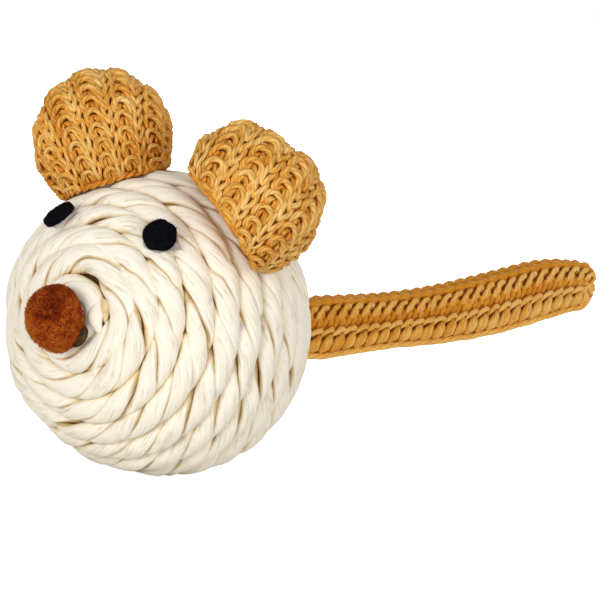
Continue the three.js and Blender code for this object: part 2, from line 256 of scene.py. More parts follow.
# The yarn anchor: where it starts behind the ball's centre, how far it ends before
# the tail's pivot, its strands' radius, lay and spread, and its knot's yarn and reach
ANCHOR_START = 11.8 * MM
ANCHOR_SPACE = 3.9 * MM
ANCHOR_STRAND = 1.0 * MM
ANCHOR_LAY = 9 * MM
ANCHOR_SPREAD = 1.1 * MM
ANCHOR_KNOT_YARN = 0.95 * MM
ANCHOR_KNOT_REACH = 3.2 * MM

# Pouch: its profile in mm, outward from its axis and back from the ball's centre
POUCH_PROFILE = [
    (0.3, -18.6), (6.5, -17.3), (12.6, -13.4), (17.0, -7.2), (18.3, 0.0), (17.2, 4.8),
    (12.6, 7.6), (7.4, 9.2), (4.2, 11.0), (4.1, 12.0), (5.3, 14.2), (0.3, 14.3),
]
PLEATS = 14
TIE_PLACE = 11 * MM
TIE_PITCH = 0.7 * MM
TIE_RADIUS = 3.95 * MM

# Camera: its turns in degrees, and its place from the ball's centre in mm, to the
# right, up and back
CAMERA_AZIMUTH = 34.83
CAMERA_ELEVATION = 5.41
CAMERA_ROLL = 11.02
CAMERA_PLACE = (24.14, 3.75, 800)
CAMERA_LENS = 282.24

# Stage and light: name, place, size and power of each lamp
FLOOR_REACH = 3.0
FLOOR_GLOW = 0.74
WORLD_LIGHT = 0.46
LIGHT_TARGET = (0, 0.03, 0.03)
LIGHTS = [
    ("key", (0.0, -0.92, 0.08), 0.5, 4.9),
    ("fill", (0.8, -0.45, 0.15), 0.7, 4.4),
    ("back", (-0.35, 0.95, 0.2), 0.7, 4.5),
]


def seeded(number):
    return np.random.default_rng(SEED + number)


def waves(source, name, length, count=5):
    """Smooth noise along a length: a sum of sines with seeded phases."""
    wavelength, size = WAVES[name]
    rates = TURN / (wavelength * source.uniform(0.6, 1.9, count))
    phases = source.uniform(0, TURN, count)
    return size * np.sin(np.multiply.outer(length, rates) + phases).sum(-1) / sqrt(count)


def unit(vectors):
    return vectors / np.linalg.norm(vectors, axis=-1, keepdims=True)


def distance(points, centre):
    """Distance of each point from a centre."""
    return np.linalg.norm(points - centre, axis=-1)


def seeded_bumps(source, count, narrow):
    """Soft bumps and hollows over a ball: gives their height in any directions."""
    spots = unit(source.normal(size=(count, 3)))
    heights = source.uniform(-1, 1, count)
    return lambda directions: (np.exp((directions @ spots.T - 1) * narrow) * heights).sum(-1)


def lengths(path):
    """Length from a path's start to each of its points."""
    return np.concatenate([[0], np.cumsum(np.linalg.norm(np.diff(path, axis=0), axis=1))])


def even_turns(count):
    """Even steps round a circle, from 0 to just before a whole turn."""
    return np.linspace(0, TURN, count, endpoint=False)


def nearest_turn(angle):
    """The same angle, between half a turn back and half a turn on."""
    return (angle + pi) % TURN - pi


def circle(angle, first, second):
    """Directions round a circle that starts at first and turns towards second."""
    return np.multiply.outer(np.cos(angle), first) + np.multiply.outer(np.sin(angle), second)


def sections(path, first, second, along_first, along_second):
    """Rings of places, one round each point of a path. The last two values say how
    far they lie from it along the first and the second direction."""
    first_part = first[:, None] * along_first[..., None]
    return path[:, None] + first_part + second[:, None] * along_second[..., None]


def hoop(turn, wide, along):
    """Places on a circle round the toy's long axis, at a place along it."""
    return np.stack([np.cos(turn) * wide, along + 0 * turn, np.sin(turn) * wide], -1)


def tube_faces(rings, sides, start=0):
    """Quads of an open tube whose vertices come ring by ring."""
    first = np.arange(rings - 1)[:, None] * sides
    here = first + np.arange(sides)
    after = first + (np.arange(sides) + 1) % sides
    return np.stack([here, after, after + sides, here + sides], -1).reshape(-1, 4) + start


def mesh_object(name, vertices, quads, caps, material, layers=None):
    """A smooth mesh from arrays, with optional end caps and point layers."""
    mesh = bpy.data.meshes.new(name)
    quads = np.asarray(quads, np.int32)
    sizes = [4] * len(quads) + [len(cap) for cap in caps]
    loops = np.concatenate([quads.ravel(), *[np.asarray(cap, np.int32) for cap in caps]])
    mesh.vertices.add(len(vertices))
    mesh.vertices.foreach_set("co", np.asarray(vertices, np.float32).ravel())
    mesh.loops.add(len(loops))
    mesh.loops.foreach_set("vertex_index", loops.astype(np.int32))
    mesh.polygons.add(len(sizes))
    starts = np.concatenate([[0], np.cumsum(sizes)[:-1]]).astype(np.int32)
    mesh.polygons.foreach_set("loop_start", starts)
    mesh.update(calc_edges=True)
    mesh.validate()
    mesh.polygons.foreach_set("use_smooth", [True] * len(mesh.polygons))
    for layer, values in (layers or {}).items():
        attribute = mesh.attributes.new(layer, "FLOAT", "POINT")
        attribute.data.foreach_set("value", np.asarray(values, np.float32).ravel())
    mesh.materials.append(material)
    return in_scene(bpy.data.objects.new(name, mesh))


def in_scene(thing):
    bpy.context.scene.collection.objects.link(thing)
    return thing


def tube_object(name, rings, material, layers=None, inward=False):
    """A tube with closed ends, from rings of places. inward turns its faces round,
    for rings that run the other way."""
    rings = np.asarray(rings)
    count, sides = rings.shape[:2]
    quads = tube_faces(count, sides)
    first = np.arange(sides)
    last = first + (count - 1) * sides
    caps = [first, last[::-1]] if inward else [first[::-1], last]
    quads = quads[:, ::-1] if inward else quads
    return mesh_object(name, rings.reshape(-1, 3), quads, caps, material, layers)


class Skein:
    """Collects many yarn tubes into one mesh."""

    def __init__(self, sides=10, plies=4, twist=9 * MM, depth=0.3):
        self.sides = sides
        self.twist = twist
        self.angles = np.arange(sides) * TURN / sides
        self.lobes = 1 - depth + depth * np.abs(np.cos(plies * self.angles / 2))
        self.yarns = []
        self.caps = []
        self.total = 0

    def lay(self, path, up, radius, flat=1.0, shade=0.0):
        """Adds one yarn along path. up keeps the section from rolling, and flat
        is the section's depth as a share of its width."""
        count = len(path)
        tangent = unit(np.gradient(path, axis=0))
        across = unit(np.cross(tangent, up))
        over = np.cross(across, tangent)
        length = lengths(path)
        spin = self.angles[None, :] + TURN * length[:, None] / self.twist
        reach = np.broadcast_to(radius, (count,))[:, None] * self.lobes[None, :]
        ring = sections(path, across, over, reach * np.cos(spin), reach * np.sin(spin) * flat)
        quads = tube_faces(count, self.sides, self.total)
        tones = np.full(count * self.sides, shade)
        self.yarns.append((ring.reshape(-1, 3), quads, np.repeat(length, self.sides), tones))
        first = np.arange(self.total, self.total + self.sides)
        self.caps += [first[::-1], first + (count - 1) * self.sides]
        self.total += count * self.sides

    def make(self, name, material, depth=None):
        """depth gives each point's height over the lining in mm, where it shows."""
        vertices, quads, along, shade = (np.concatenate(parts) for parts in zip(*self.yarns))
        section = np.tile(self.angles, self.total // self.sides)
        layers = {
            "along": along,
            "shade": shade,
            "depth": depth(vertices) / MM if depth else np.full(self.total, 9.0),
            "section_x": np.cos(section),
            "section_y": np.sin(section),
        }
        return mesh_object(name, vertices, quads, self.caps, material, layers)


# Materials


class Nodes:
    """Short calls that build the node tree of a material or of the world."""

    def __init__(self, owner):
        owner.use_nodes = True
        self.owner = owner
        self.tree = owner.node_tree

    def feed(self, socket, value):
        """Links a socket to what another node gives, or sets it to a constant."""
        if isinstance(value, bpy.types.NodeSocket):
            self.tree.links.new(value, socket)
        else:
            socket.default_value = (*value, 1) if socket.type == "RGBA" else value

    def add(self, kind, inputs, output=0, **settings):
        node = self.tree.nodes.new(kind)
        for key, value in settings.items():
            setattr(node, key, value)
        for socket, value in inputs.items():
            self.feed(node.inputs[socket], value)
        return node.outputs[output]

    def attribute(self, name):
        return self.add("ShaderNodeAttribute", {}, "Fac", attribute_name=name)

    def position(self):
        return self.add("ShaderNodeTexCoord", {}, "Object")

    def vector(self, *parts):
        return self.add("ShaderNodeCombineXYZ", dict(enumerate(parts)))

    def stretch(self, vector, scale):
        return self.add("ShaderNodeVectorMath", {0: vector, 1: scale}, operation="MULTIPLY")

    def distance(self, place):
        """Distance of the shaded point from a place, in metres."""
        inputs = {0: self.position(), 1: tuple(place)}
        return self.add("ShaderNodeVectorMath", inputs, "Value", operation="DISTANCE")

    def noise(self, vector, scale, detail, roughness=0.55):
        inputs = {"Vector": vector, "Scale": scale, "Detail": detail, "Roughness": roughness}
        return self.add("ShaderNodeTexNoise", inputs)

    def remap(self, value, low, high, start=0.0, end=1.0):
        inputs = {"Value": value, "From Min": low, "From Max": high, "To Min": start, "To Max": end}
        return self.add("ShaderNodeMapRange", inputs)

    def ramp(self, value, stops):
        colour = self.add("ShaderNodeValToRGB", {"Fac": value})
        elements = colour.node.color_ramp.elements
        while len(elements) < len(stops):
            elements.new(0.5)
        for element, (place, tone) in zip(elements, stops):
            element.position = place
            element.color = (*tone, 1)
        return colour

    def mix(self, share, first, second, blend="MIX"):
        inputs = {0: share, 6: first, 7: second}
        return self.add("ShaderNodeMix", inputs, 2, data_type="RGBA", blend_type=blend)

    def math(self, operation, first, second=0.0):
        return self.add("ShaderNodeMath", {0: first, 1: second}, operation=operation)

    def total(self, *parts):
        """Sum of values, each of them times a share."""
        total = 0.0
        for value, share in parts:
            inputs = {0: value, 1: share, 2: total}
            total = self.add("ShaderNodeMath", inputs, operation="MULTIPLY_ADD")
        return total

    def seen_directly(self):
        """1 for what the camera, a reflection or a clear body sees, and 0 for light
        that falls on the object."""
        rays = self.add("ShaderNodeLightPath", {}).node.outputs
        sharp = self.math("MAXIMUM", rays["Is Camera Ray"], rays["Is Glossy Ray"])
        return self.math("MAXIMUM", sharp, rays["Is Transmission Ray"])

    def finish(self, colour, roughness, gloss, height=None, depth=0.12 * MM, strength=0.8):
        """Gives the material's shader its colour, gloss and relief."""
        values = {"Base Color": colour, "Roughness": roughness, "Specular IOR Level": gloss}
        if height is not None:
            relief = {"Height": height, "Distance": depth, "Strength": strength}
            values["Normal"] = self.add("ShaderNodeBump", relief)
        for socket, value in values.items():
            self.feed(self.tree.nodes["Principled BSDF"].inputs[socket], value)
        return self.owner


def on_ball(polar, around):
    """Directions from the ball's centre: polar from the nose, around from the
    top, counter-clockwise for someone who faces the mouse."""
    flat = np.sin(polar)
    return np.stack([-flat * np.sin(around), -np.cos(polar), flat * np.cos(around)], -1)


def push_out(points, level):
    """Moves places that lie too deep in the ball out to a level from its centre."""
    away = points - CENTRE
    depth = np.linalg.norm(away, axis=-1, keepdims=True)
    return CENTRE + away / depth * np.maximum(depth, level)


def in_view(across, upright):
    """The direction that points so far across the photograph and upright in it."""
    return unit(across * VIEW_ACROSS + upright * VIEW_UPRIGHT)


def rope_material():
    """Creased paper: streaks and creases along each ply, tan hems, and painted shade in the creases and
    in the grooves between the turns.
    """
    nodes = Nodes(bpy.data.materials.new("twisted_paper"))
    place = nodes.attribute("place")
    sheet = nodes.vector(place, nodes.attribute("along"), nodes.attribute("ply"))
    streaks = nodes.noise(nodes.stretch(sheet, (6.0, 120.0, 7.0)), 1.0, 5.0, 0.65)
    paper = nodes.ramp(streaks, PAPER_TONES)
    blotches = nodes.remap(nodes.noise(nodes.position(), 160.0, 3.0), 0.5, 0.75, 0, 0.25)
    paper = nodes.mix(blotches, paper, (0.80, 0.71, 0.54))
    patchy = nodes.remap(nodes.noise(nodes.position(), 330.0, 2.0), 0.42, 0.62)
    wander = nodes.noise(nodes.stretch(sheet, (2.2, 70.0, 5.0)), 1.0, 2.5, 0.5)
    crease = nodes.math("ABSOLUTE", nodes.math("SUBTRACT", wander, 0.5))
    crease = nodes.math("MULTIPLY", nodes.remap(crease, 0.0, 0.022, 1, 0), patchy)
    # Painted shade: the paper is darkened to tan along each crease
    paper = nodes.mix(nodes.math("MULTIPLY", crease, 0.5), paper, (0.56, 0.42, 0.22))
    hem = nodes.remap(nodes.math("ABSOLUTE", place), 0.77, 0.93)
    hem = nodes.math("MULTIPLY", hem, nodes.remap(patchy, 0, 1, 0.55, 1))
    paper = nodes.mix(hem, paper, (0.60, 0.43, 0.19))
    # Grey spots painted on the paper between the turns
    for polar, around, reach, share in GREY_SPOTS:
        spot = CENTRE + on_ball(radians(polar), radians(around)) * (BALL_RADIUS - GREY_SPOT_DEPTH)
        near = nodes.remap(nodes.distance(spot), 0.5 * reach * MM, reach * MM, share, 0)
        paper = nodes.mix(near, paper, (0.42, 0.37, 0.38))
    # Painted shade: the paper is darkened the deeper it lies in the grooves
    groove_shade = nodes.ramp(nodes.remap(nodes.distance(CENTRE), *GROOVE_DEPTHS), GROOVE_SHADE_TONES)
    relief = nodes.total((streaks, 1.0), (crease, -0.8))
    return nodes.finish(nodes.mix(1.0, paper, groove_shade, "MULTIPLY"), 0.72, 0.25, relief)


def yarn_material(name, light, middle, dark):
    """Soft plied yarn: fine lines that wind along it, slow changes of tone, and painted bounce light
    that tints it a deeper orange where it lies deep.
    """
    nodes = Nodes(bpy.data.materials.new(name))
    place = nodes.position()
    shade = nodes.attribute("shade")
    angle = nodes.math("ARCTAN2", nodes.attribute("section_y"), nodes.attribute("section_x"))
    winding = nodes.total((angle, 2.5), (nodes.noise(place, 900.0, 2.0), 2.0))
    lines = nodes.math("ABSOLUTE", nodes.math("SINE", winding))
    strand = nodes.stretch(nodes.vector(angle, nodes.attribute("along"), shade), (2.2, 420.0, 90.0))
    fibres = nodes.noise(strand, 1.6, 4.0, 0.65)
    patches = nodes.noise(place, 260.0, 2.0)
    tone = nodes.total((fibres, 0.42), (patches, 0.36), (lines, 0.17), (shade, 1.0))
    colour = nodes.ramp(tone, [(0.33, dark), (0.5, middle), (0.66, light)])
    # Painted bounce light: yarn that lies deep is tinted a more saturated orange
    sunk = nodes.remap(nodes.attribute("depth"), -0.2, 0.8, 1, 0)
    bounce_tinted = nodes.mix(sunk, colour, nodes.mix(1.0, colour, (1.12, 0.88, 0.38), "MULTIPLY"))
    return nodes.finish(bounce_tinted, 0.7, 0.2, nodes.total((lines, 0.7), (fibres, 0.5)))


def pile_material(name, light, middle, dark):
    nodes = Nodes(bpy.data.materials.new(name))
    grains = nodes.noise(nodes.position(), 1900.0, 3.0, 0.6)
    patches = nodes.noise(nodes.position(), 420.0, 2.0)
    tone = nodes.total((grains, 0.6), (patches, 0.4), (nodes.attribute("shade"), 1.0))
    return nodes.finish(nodes.ramp(tone, [(0.32, dark), (0.5, middle), (0.68, light)]), 0.9, 0.1)


def plain_material(name, light, dark, scale=400.0, roughness=0.6, bump=0.05, gloss=0.4):
    nodes = Nodes(bpy.data.materials.new(name))
    grain = nodes.noise(nodes.position(), scale, 5.0)
    colour = nodes.ramp(grain, [(0.35, dark), (0.65, light)])
    return nodes.finish(colour, roughness, gloss, grain, bump * MM, 0.6)


PAPER = rope_material()
EAR_YARN = yarn_material("ear_yarn", (0.83, 0.575, 0.22), (0.70, 0.36, 0.062), (0.53, 0.18, 0.006))
TAIL_YARN = yarn_material(
    "tail_yarn", (0.93, 0.575, 0.17), (0.85, 0.425, 0.066), (0.66, 0.26, 0.013)
)
PLASTIC = plain_material("core_moulding", (0.80, 0.78, 0.73), (0.74, 0.72, 0.67))
CLOTH = plain_material("pouch_cotton", (0.66, 0.62, 0.48), (0.50, 0.47, 0.34), 900.0, 0.95, 0.15)
WADDING = plain_material("white_wadding", (0.92, 0.90, 0.87), (0.82, 0.80, 0.76), 500.0, 1.0, 0.4)
FELT = plain_material(
    "black_felt", (0.007, 0.006, 0.009), (0.002, 0.002, 0.003), 2600.0, 1.0, 0.25, 0.02
)
GLUE = plain_material("set_glue", (0.48, 0.42, 0.41), (0.22, 0.17, 0.17), 420.0, 0.35, 0.1)
CLEAR_GLUE = plain_material("clear_glue", (0.82, 0.76, 0.66), (0.6, 0.54, 0.46), 420.0, 0.35, 0.1)
FOLD = plain_material("paper_inside", (0.78, 0.62, 0.38), (0.62, 0.45, 0.22), 700.0, 0.8, 0.15)
FELT_HAIR = plain_material(
    "felt_hairs", (0.014, 0.012, 0.013), (0.003, 0.003, 0.004), 2600.0, 1.0, 0.1, 0.02
)
DARK_GLUE = plain_material(
    "dark_glue", (0.12, 0.062, 0.022), (0.04, 0.02, 0.009), 900.0, 0.9, 0.2, 0.1
)
# Painted shade: the dark linings that show through the gaps in the knit and the crochet
EAR_SHADE_LINING = plain_material("ear_shade_lining", (0.58, 0.22, 0.018), (0.36, 0.10, 0.005), 1500.0, 0.95, 0.3)
TAIL_SHADE_LINING = plain_material("tail_shade_lining", (0.60, 0.24, 0.02), (0.42, 0.13, 0.006), 1500.0, 0.95, 0.3)
PILE_HEART = plain_material("pompom_heart", (0.20, 0.04, 0.008), (0.10, 0.018, 0.004), 1300.0, 1.0, 0.3)
PILE = pile_material("pompom_pile", (0.62, 0.16, 0.016), (0.38, 0.055, 0.007), (0.13, 0.012, 0.003))


# Rope winding


def rope_route():
    """Centreline of the winding, with its outward directions, its lengths and how
    thick the rope is there."""
    source = seeded(0)
    pitch_angle = TURN_PITCH / ROPE_CENTRE_RADIUS
    turns = (LAST_POLAR - FIRST_POLAR) / pitch_angle
    wound = np.linspace(0, turns + THIN_TURNS, int(turns * 400))
    around = pi + ((FIRST_POLAR - pi / 2) / pitch_angle - 0.5 + wound) * TURN
    beyond = np.maximum(wound - turns, 0)
    closing = THIN_CLOSING[0] * beyond + THIN_CLOSING[1] * beyond**2
    fine = FIRST_POLAR + np.minimum(wound, turns) * pitch_angle + closing
    space = (closing + (1 - beyond) * pitch_angle) / pitch_angle
    points = on_ball(fine, around) * ROPE_CENTRE_RADIUS
    length = lengths(points)
    even = np.arange(0, length[-1], ROPE_STEP)
    polar = np.interp(even, length, fine)
    around = np.interp(even, length, around)
    thick = np.clip(2 * np.interp(even, length, space) - 1, 0.1, 1)
    polar = polar + waves(source, "rope_aside", even) / ROPE_CENTRE_RADIUS
    for table, reach in ((ROPE_PUSHES, 1.3), (ROPE_GAPS, 0.9)):
        for gap_polar, gap_around, opening, half_length in table:
            aside = (polar - radians(gap_polar)) / pitch_angle
            turn = nearest_turn(around - radians(gap_around))
            apart = turn * sin(radians(gap_polar)) * BALL_RADIUS / (half_length * MM)
            weight = np.exp(-(apart**2) - (aside / reach) ** 2)
            if table is ROPE_GAPS:
                weight = weight * np.tanh(4 * aside)
            polar = polar + weight * opening * MM / ROPE_CENTRE_RADIUS
    outward = on_ball(polar, around)
    radius = ROPE_CENTRE_RADIUS + waves(source, "rope_height", even)
    proud_polar, proud_around, height, polar_reach, around_reach = PROUD_TURN
    aside = (polar - radians(proud_polar)) / polar_reach
    turn = nearest_turn(around - radians(proud_around)) / around_reach
    radius = radius + height * MM * np.exp(-(aside**2) - turn**2)
    for across, upright, growth, reach in BALL_SWELLS:
        apart = np.arccos(np.clip(outward @ in_view(across, upright), -1, 1))
        radius = radius + growth * MM * np.exp(-((apart / reach) ** 2))
    path = CENTRE + outward * (radius - 0.6 * MM * (1 - thick))[:, None]
    return path, outward, even, thick


def ply_mesh(path, outward, length, thick, ply, source):
    """One ply of the rope: a broad band of creased paper, twisted round the path.
    Its trailing edge stands proud over the edge of the next ply."""
    tangent = unit(np.gradient(path, axis=0))
    right = unit(np.cross(tangent, outward))
    lay = length + waves(source, "ply_lay", length)
    turn = (-TURN * lay / ROPE_LAY + ply * TURN / PLY_COUNT)[:, None]
    share = np.linspace(-1, 1, PLY_OUTER_SIDES)[None, :]
    spread = PLY_SPREAD * (1 + waves(source, "ply_spread", length))[:, None]
    shift = waves(source, "ply_shift", length)[:, None]
    crown = 1.0 + 0.05 * share - 0.27 * np.abs(share) ** 4
    crown = crown - 0.20 * np.clip(share - 0.88, 0, 1) / 0.12
    outer = ROPE_RADIUS * crown * (1 + waves(source, "ply_thickness", length))[:, None]
    for folds, size in CREASES:
        drift = waves(source, "crease_drift", length)[:, None]
        strength = np.clip(0.5 + waves(source, "crease_strength", length), 0, 1.4)[:, None]
        fold = np.abs(np.sin(folds * share * 1.3 + drift + source.uniform(0, TURN)))
        outer = outer - size * MM * strength * (1 - fold) ** 3 * 1.6
    back = np.linspace(1, -1, PLY_INNER_SIDES)[None, :]
    inner = np.broadcast_to(PLY_CORE_RADIUS, (len(length), PLY_INNER_SIDES))
    radius = np.concatenate([outer, inner], 1) * thick[:, None]
    angle = np.concatenate([share * spread + shift, back * spread * 0.9 + shift], 1) + turn
    squash = np.abs(np.cos(angle)) ** ROPE_SQUASH
    squash = squash + np.abs(np.sin(angle) / ROPE_WIDENING) ** ROPE_SQUASH
    radius = radius * squash ** (-1 / ROPE_SQUASH)
    vertices = sections(path, outward, right, radius * np.cos(angle), radius * np.sin(angle))
    place = np.concatenate([share, back], 1)
    return vertices, np.broadcast_to(place, radius.shape)


def dress(piece, body, slot, *nodes):
    """Mounts a piece on its body and hides the frame's parts that it stands for. slot is not used."""
    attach(piece, body)
    if nodes:
        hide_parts(*nodes)
    return piece


def make_rope():
    path, outward, length, thick = rope_route()
    source = seeded(1)
    half = len(path) // 2
    for ply in range(PLY_COUNT):
        vertices, place = ply_mesh(path, outward, length, thick, ply, source)
        vertices[..., 2] = np.maximum(vertices[..., 2], GROUND)
        for part, rows in (("front", slice(0, half + 1)), ("rear", slice(half, None))):
            rings = vertices[rows]
            layers = {
                "place": place[rows],
                "along": np.repeat(length[rows], rings.shape[1]),
                "ply": np.full(rings.shape[:2], ply),
            }
            band = tube_object(f"rope_ply_{ply + 1}_{part}", rings, PAPER, layers)
            dress(band, "ball", "rope_paper", "rope_winding")


make_rope()


def tucked_end():
    """The rope's first end: one ply that comes up again beside the nose, the folded
    inside of the paper next to it, and the ply under the gap. Each is given by its
    place in degrees, its depth and its thickness in mm, and how flat it is."""
    share = np.linspace(0, 1, 40)
    rise = np.sin(pi * share)
    bent = np.where(share < 0.5, 2.2, 3.3) * (2 * share - 1) ** 2
    folded = np.interp(share, [0, 0.25, 0.6, 1], [14.9, 16.8, 16.4, 16.3])
    pieces = (("rope_tucked_ply", PAPER), ("rope_inner_fold", FOLD), ("rope_hidden_ply", PAPER))
    shapes = (
        (309 - 52 * share, 13.1 + bent, 1.0 - 0.7 * rise, 0.25 + 1.15 * rise, 0.6),
        (311 - 35 * share, folded, 1.3 - 0.4 * rise, 0.25 + 0.6 * rise, 0.8),
        (380 - 105 * share, 19.0 - 4.0 * share, 4.3 + 0 * share, 1.3, 0.5),
    )
    for (name, material), (around, polar, sunk, thick, flat) in zip(pieces, shapes):
        skein = Skein(20, 2, 16 * MM, 0.12)
        outward = on_ball(np.radians(polar), np.radians(around))
        points = CENTRE + outward * (BALL_RADIUS - sunk * MM)[:, None]
        skein.lay(points, outward, thick * MM, flat)
        dress(skein.make(name, material), "ball", "rope_paper")


tucked_end()


def smooth_path(points, count):
    """A smooth curve through control points, at even shares of its length."""
    points = np.asarray(points, float)
    padded = np.concatenate([[2 * points[0] - points[1]], points, [2 * points[-1] - points[-2]]])
    spans = len(points) - 1
    share = np.linspace(0, spans, count)
    span = np.minimum(share.astype(int), spans - 1)
    t = (share - span)[:, None]
    a, b, c, d = (padded[span + step] for step in range(4))
    square = 2 * a - 5 * b + 4 * c - d
    cube = 3 * b - a - 3 * c + d
    return 0.5 * (2 * b + (c - a) * t + square * t**2 + cube * t**3)


def lumpy_ball(name, centre, axes, source, rough, material, layers, bumps=60):
    """A soft stuffed form: an ellipsoid with shallow seeded bumps. Its axes are
    three vectors, the last of them its pole."""
    polar = np.linspace(0.03, pi - 0.03, layers)[:, None]
    around = even_turns(2 * layers)
    flat = np.sin(polar)
    local = np.stack([flat * np.cos(around), flat * np.sin(around), np.cos(polar) + 0 * around], -1)
    swell = seeded_bumps(source, bumps, 22)(local)
    grown = local * (1 + rough * swell)[..., None]
    return tube_object(name, centre + grown @ np.array(axes), material)


# Ears


def ear_direction(side, lean):
    flat = cos(EAR_FORWARD)
    return np.array([side * sin(lean) * flat, -sin(EAR_FORWARD), cos(lean) * flat])


class EarCloth:
    """Places of a knitted cloth on an ear's ball. Its wales lie in planes that
    meet in one line below the ear, so they spread towards the top."""

    def __init__(self, axis, side_name):
        self.axis = axis
        self.centre = CENTRE + axis * EAR_STAND + np.array(EAR_SHIFTS[side_name]) * MM
        self.front = unit(VIEW_SIDE - axis * (VIEW_SIDE @ axis))
        self.aside = np.cross(axis, self.front)
        self.flats = EAR_FLATS[side_name]
        self.stretches = EAR_STRETCHES[side_name]

    def press(self, points, level):
        """Stretches the ear and flattens the sides where it gives."""
        local = points - self.centre
        for axis, stretch in zip((VIEW_ACROSS, VIEW_UPRIGHT), self.stretches):
            local = local + (stretch * (local @ axis))[..., None] * axis
        for side, nearest_reach, nearest, bow, give in self.flats:
            side = unit(np.array(side))
            share = local @ side / level
            place = local @ np.cross(VIEW_SIDE, side) / level
            reach = nearest_reach + bow * (place + nearest) ** 2
            beyond = np.maximum(give - reach - share, 0)
            firm = 1 - np.exp(-beyond / give)
            moved = (beyond - give * firm) * level
            relief = 0.6 * (level - CLOTH_BASE) * firm
            local = local + (moved - relief)[..., None] * side
        return self.centre + local

    def shell(self, level, angle, around):
        """Points of the ear's ball at an angle from its pole and a turn round it."""
        ring = circle(around, self.front, self.aside)
        direction = np.cos(angle)[..., None] * self.axis + np.sin(angle)[..., None] * ring
        return self.press(self.centre + direction * np.asarray(level)[..., None], level), direction

    def foot(self, level, around, floor):
        """Angle from the pole at which the ear's ball comes down to the winding."""
        angles = np.linspace(0.3, 0.98, 240)[:, None] * pi + 0 * around[None, :]
        points, _ = self.shell(level, angles, around)
        inside = distance(points, CENTRE) < floor
        return angles[np.argmax(inside, axis=0), 0]

    def foot_directions(self, level, around, floor):
        """Where the ear's foot meets the winding, seen from the ball's centre."""
        return unit(self.shell(level, self.foot(level, around, floor), around)[0] - CENTRE)

    def point(self, wale, across, along, height):
        """across and along are lengths from the wale's middle and from the front."""
        lean = wale * WALE_WIDTH / WALE_ORIGIN
        middle = sqrt(EAR_RADIUS**2 - (WALE_ORIGIN * sin(lean)) ** 2)
        turn = pi / 2 - along / middle
        level = CLOTH_BASE + height
        steepest = np.arcsin(0.97 * level / WALE_ORIGIN)
        tilt = np.clip(lean + across / WALE_ORIGIN, -steepest, steepest)
        reach = np.sqrt(level**2 - (WALE_ORIGIN * np.sin(tilt)) ** 2)
        direction = circle(tilt, self.axis, self.aside)
        upward = WALE_ORIGIN * np.cos(tilt) + reach * np.cos(turn)
        points = self.centre - self.axis * WALE_ORIGIN + direction * upward[:, None]
        return self.press(points + np.multiply.outer(reach * np.sin(turn), self.front), level)

    def spread(self, points):
        """How much further apart the wales lie at a point than at the front."""
        return 1 + (points - self.centre) @ self.axis / WALE_ORIGIN


# One stitch of the ears' rib, in mm: across the wale, along it and outward
HEAD = [
    (-0.95, -1.9, -0.35), (-1.12, -1.0, 0.05), (-1.15, -0.1, 0.42), (-0.78, 0.72, 0.66),
    (0.0, 1.04, 0.74), (0.78, 0.72, 0.66), (1.15, -0.1, 0.42), (1.12, -1.0, 0.05),
    (0.95, -1.9, -0.35),
]
FILL = [(0.42, -1.8, -0.1), (0.52, -0.9, 0.28), (0.42, -0.25, 0.1), (0.15, 0.3, -0.3)]
LINK_INNER = [
    (1.75, 2.0, -0.2), (1.55, 1.0, 0.3), (1.66, 0.0, 0.48), (1.9, -1.0, 0.40),
    (2.1, -1.8, -0.1),
]
LINK_OUTER = [
    (2.6, 2.0, -0.3), (2.84, 1.0, 0.2), (2.68, 0.0, 0.40), (2.4, -1.0, 0.34),
    (2.2, -1.8, -0.15),
]
# Radii of the yarn in them
HEAD_YARN = 0.50 * MM
COIL_YARN = 0.48 * MM
EDGE_YARN = 0.45 * MM
FILL_YARN = 0.42 * MM
LINK_YARNS = (0.44 * MM, 0.42 * MM)


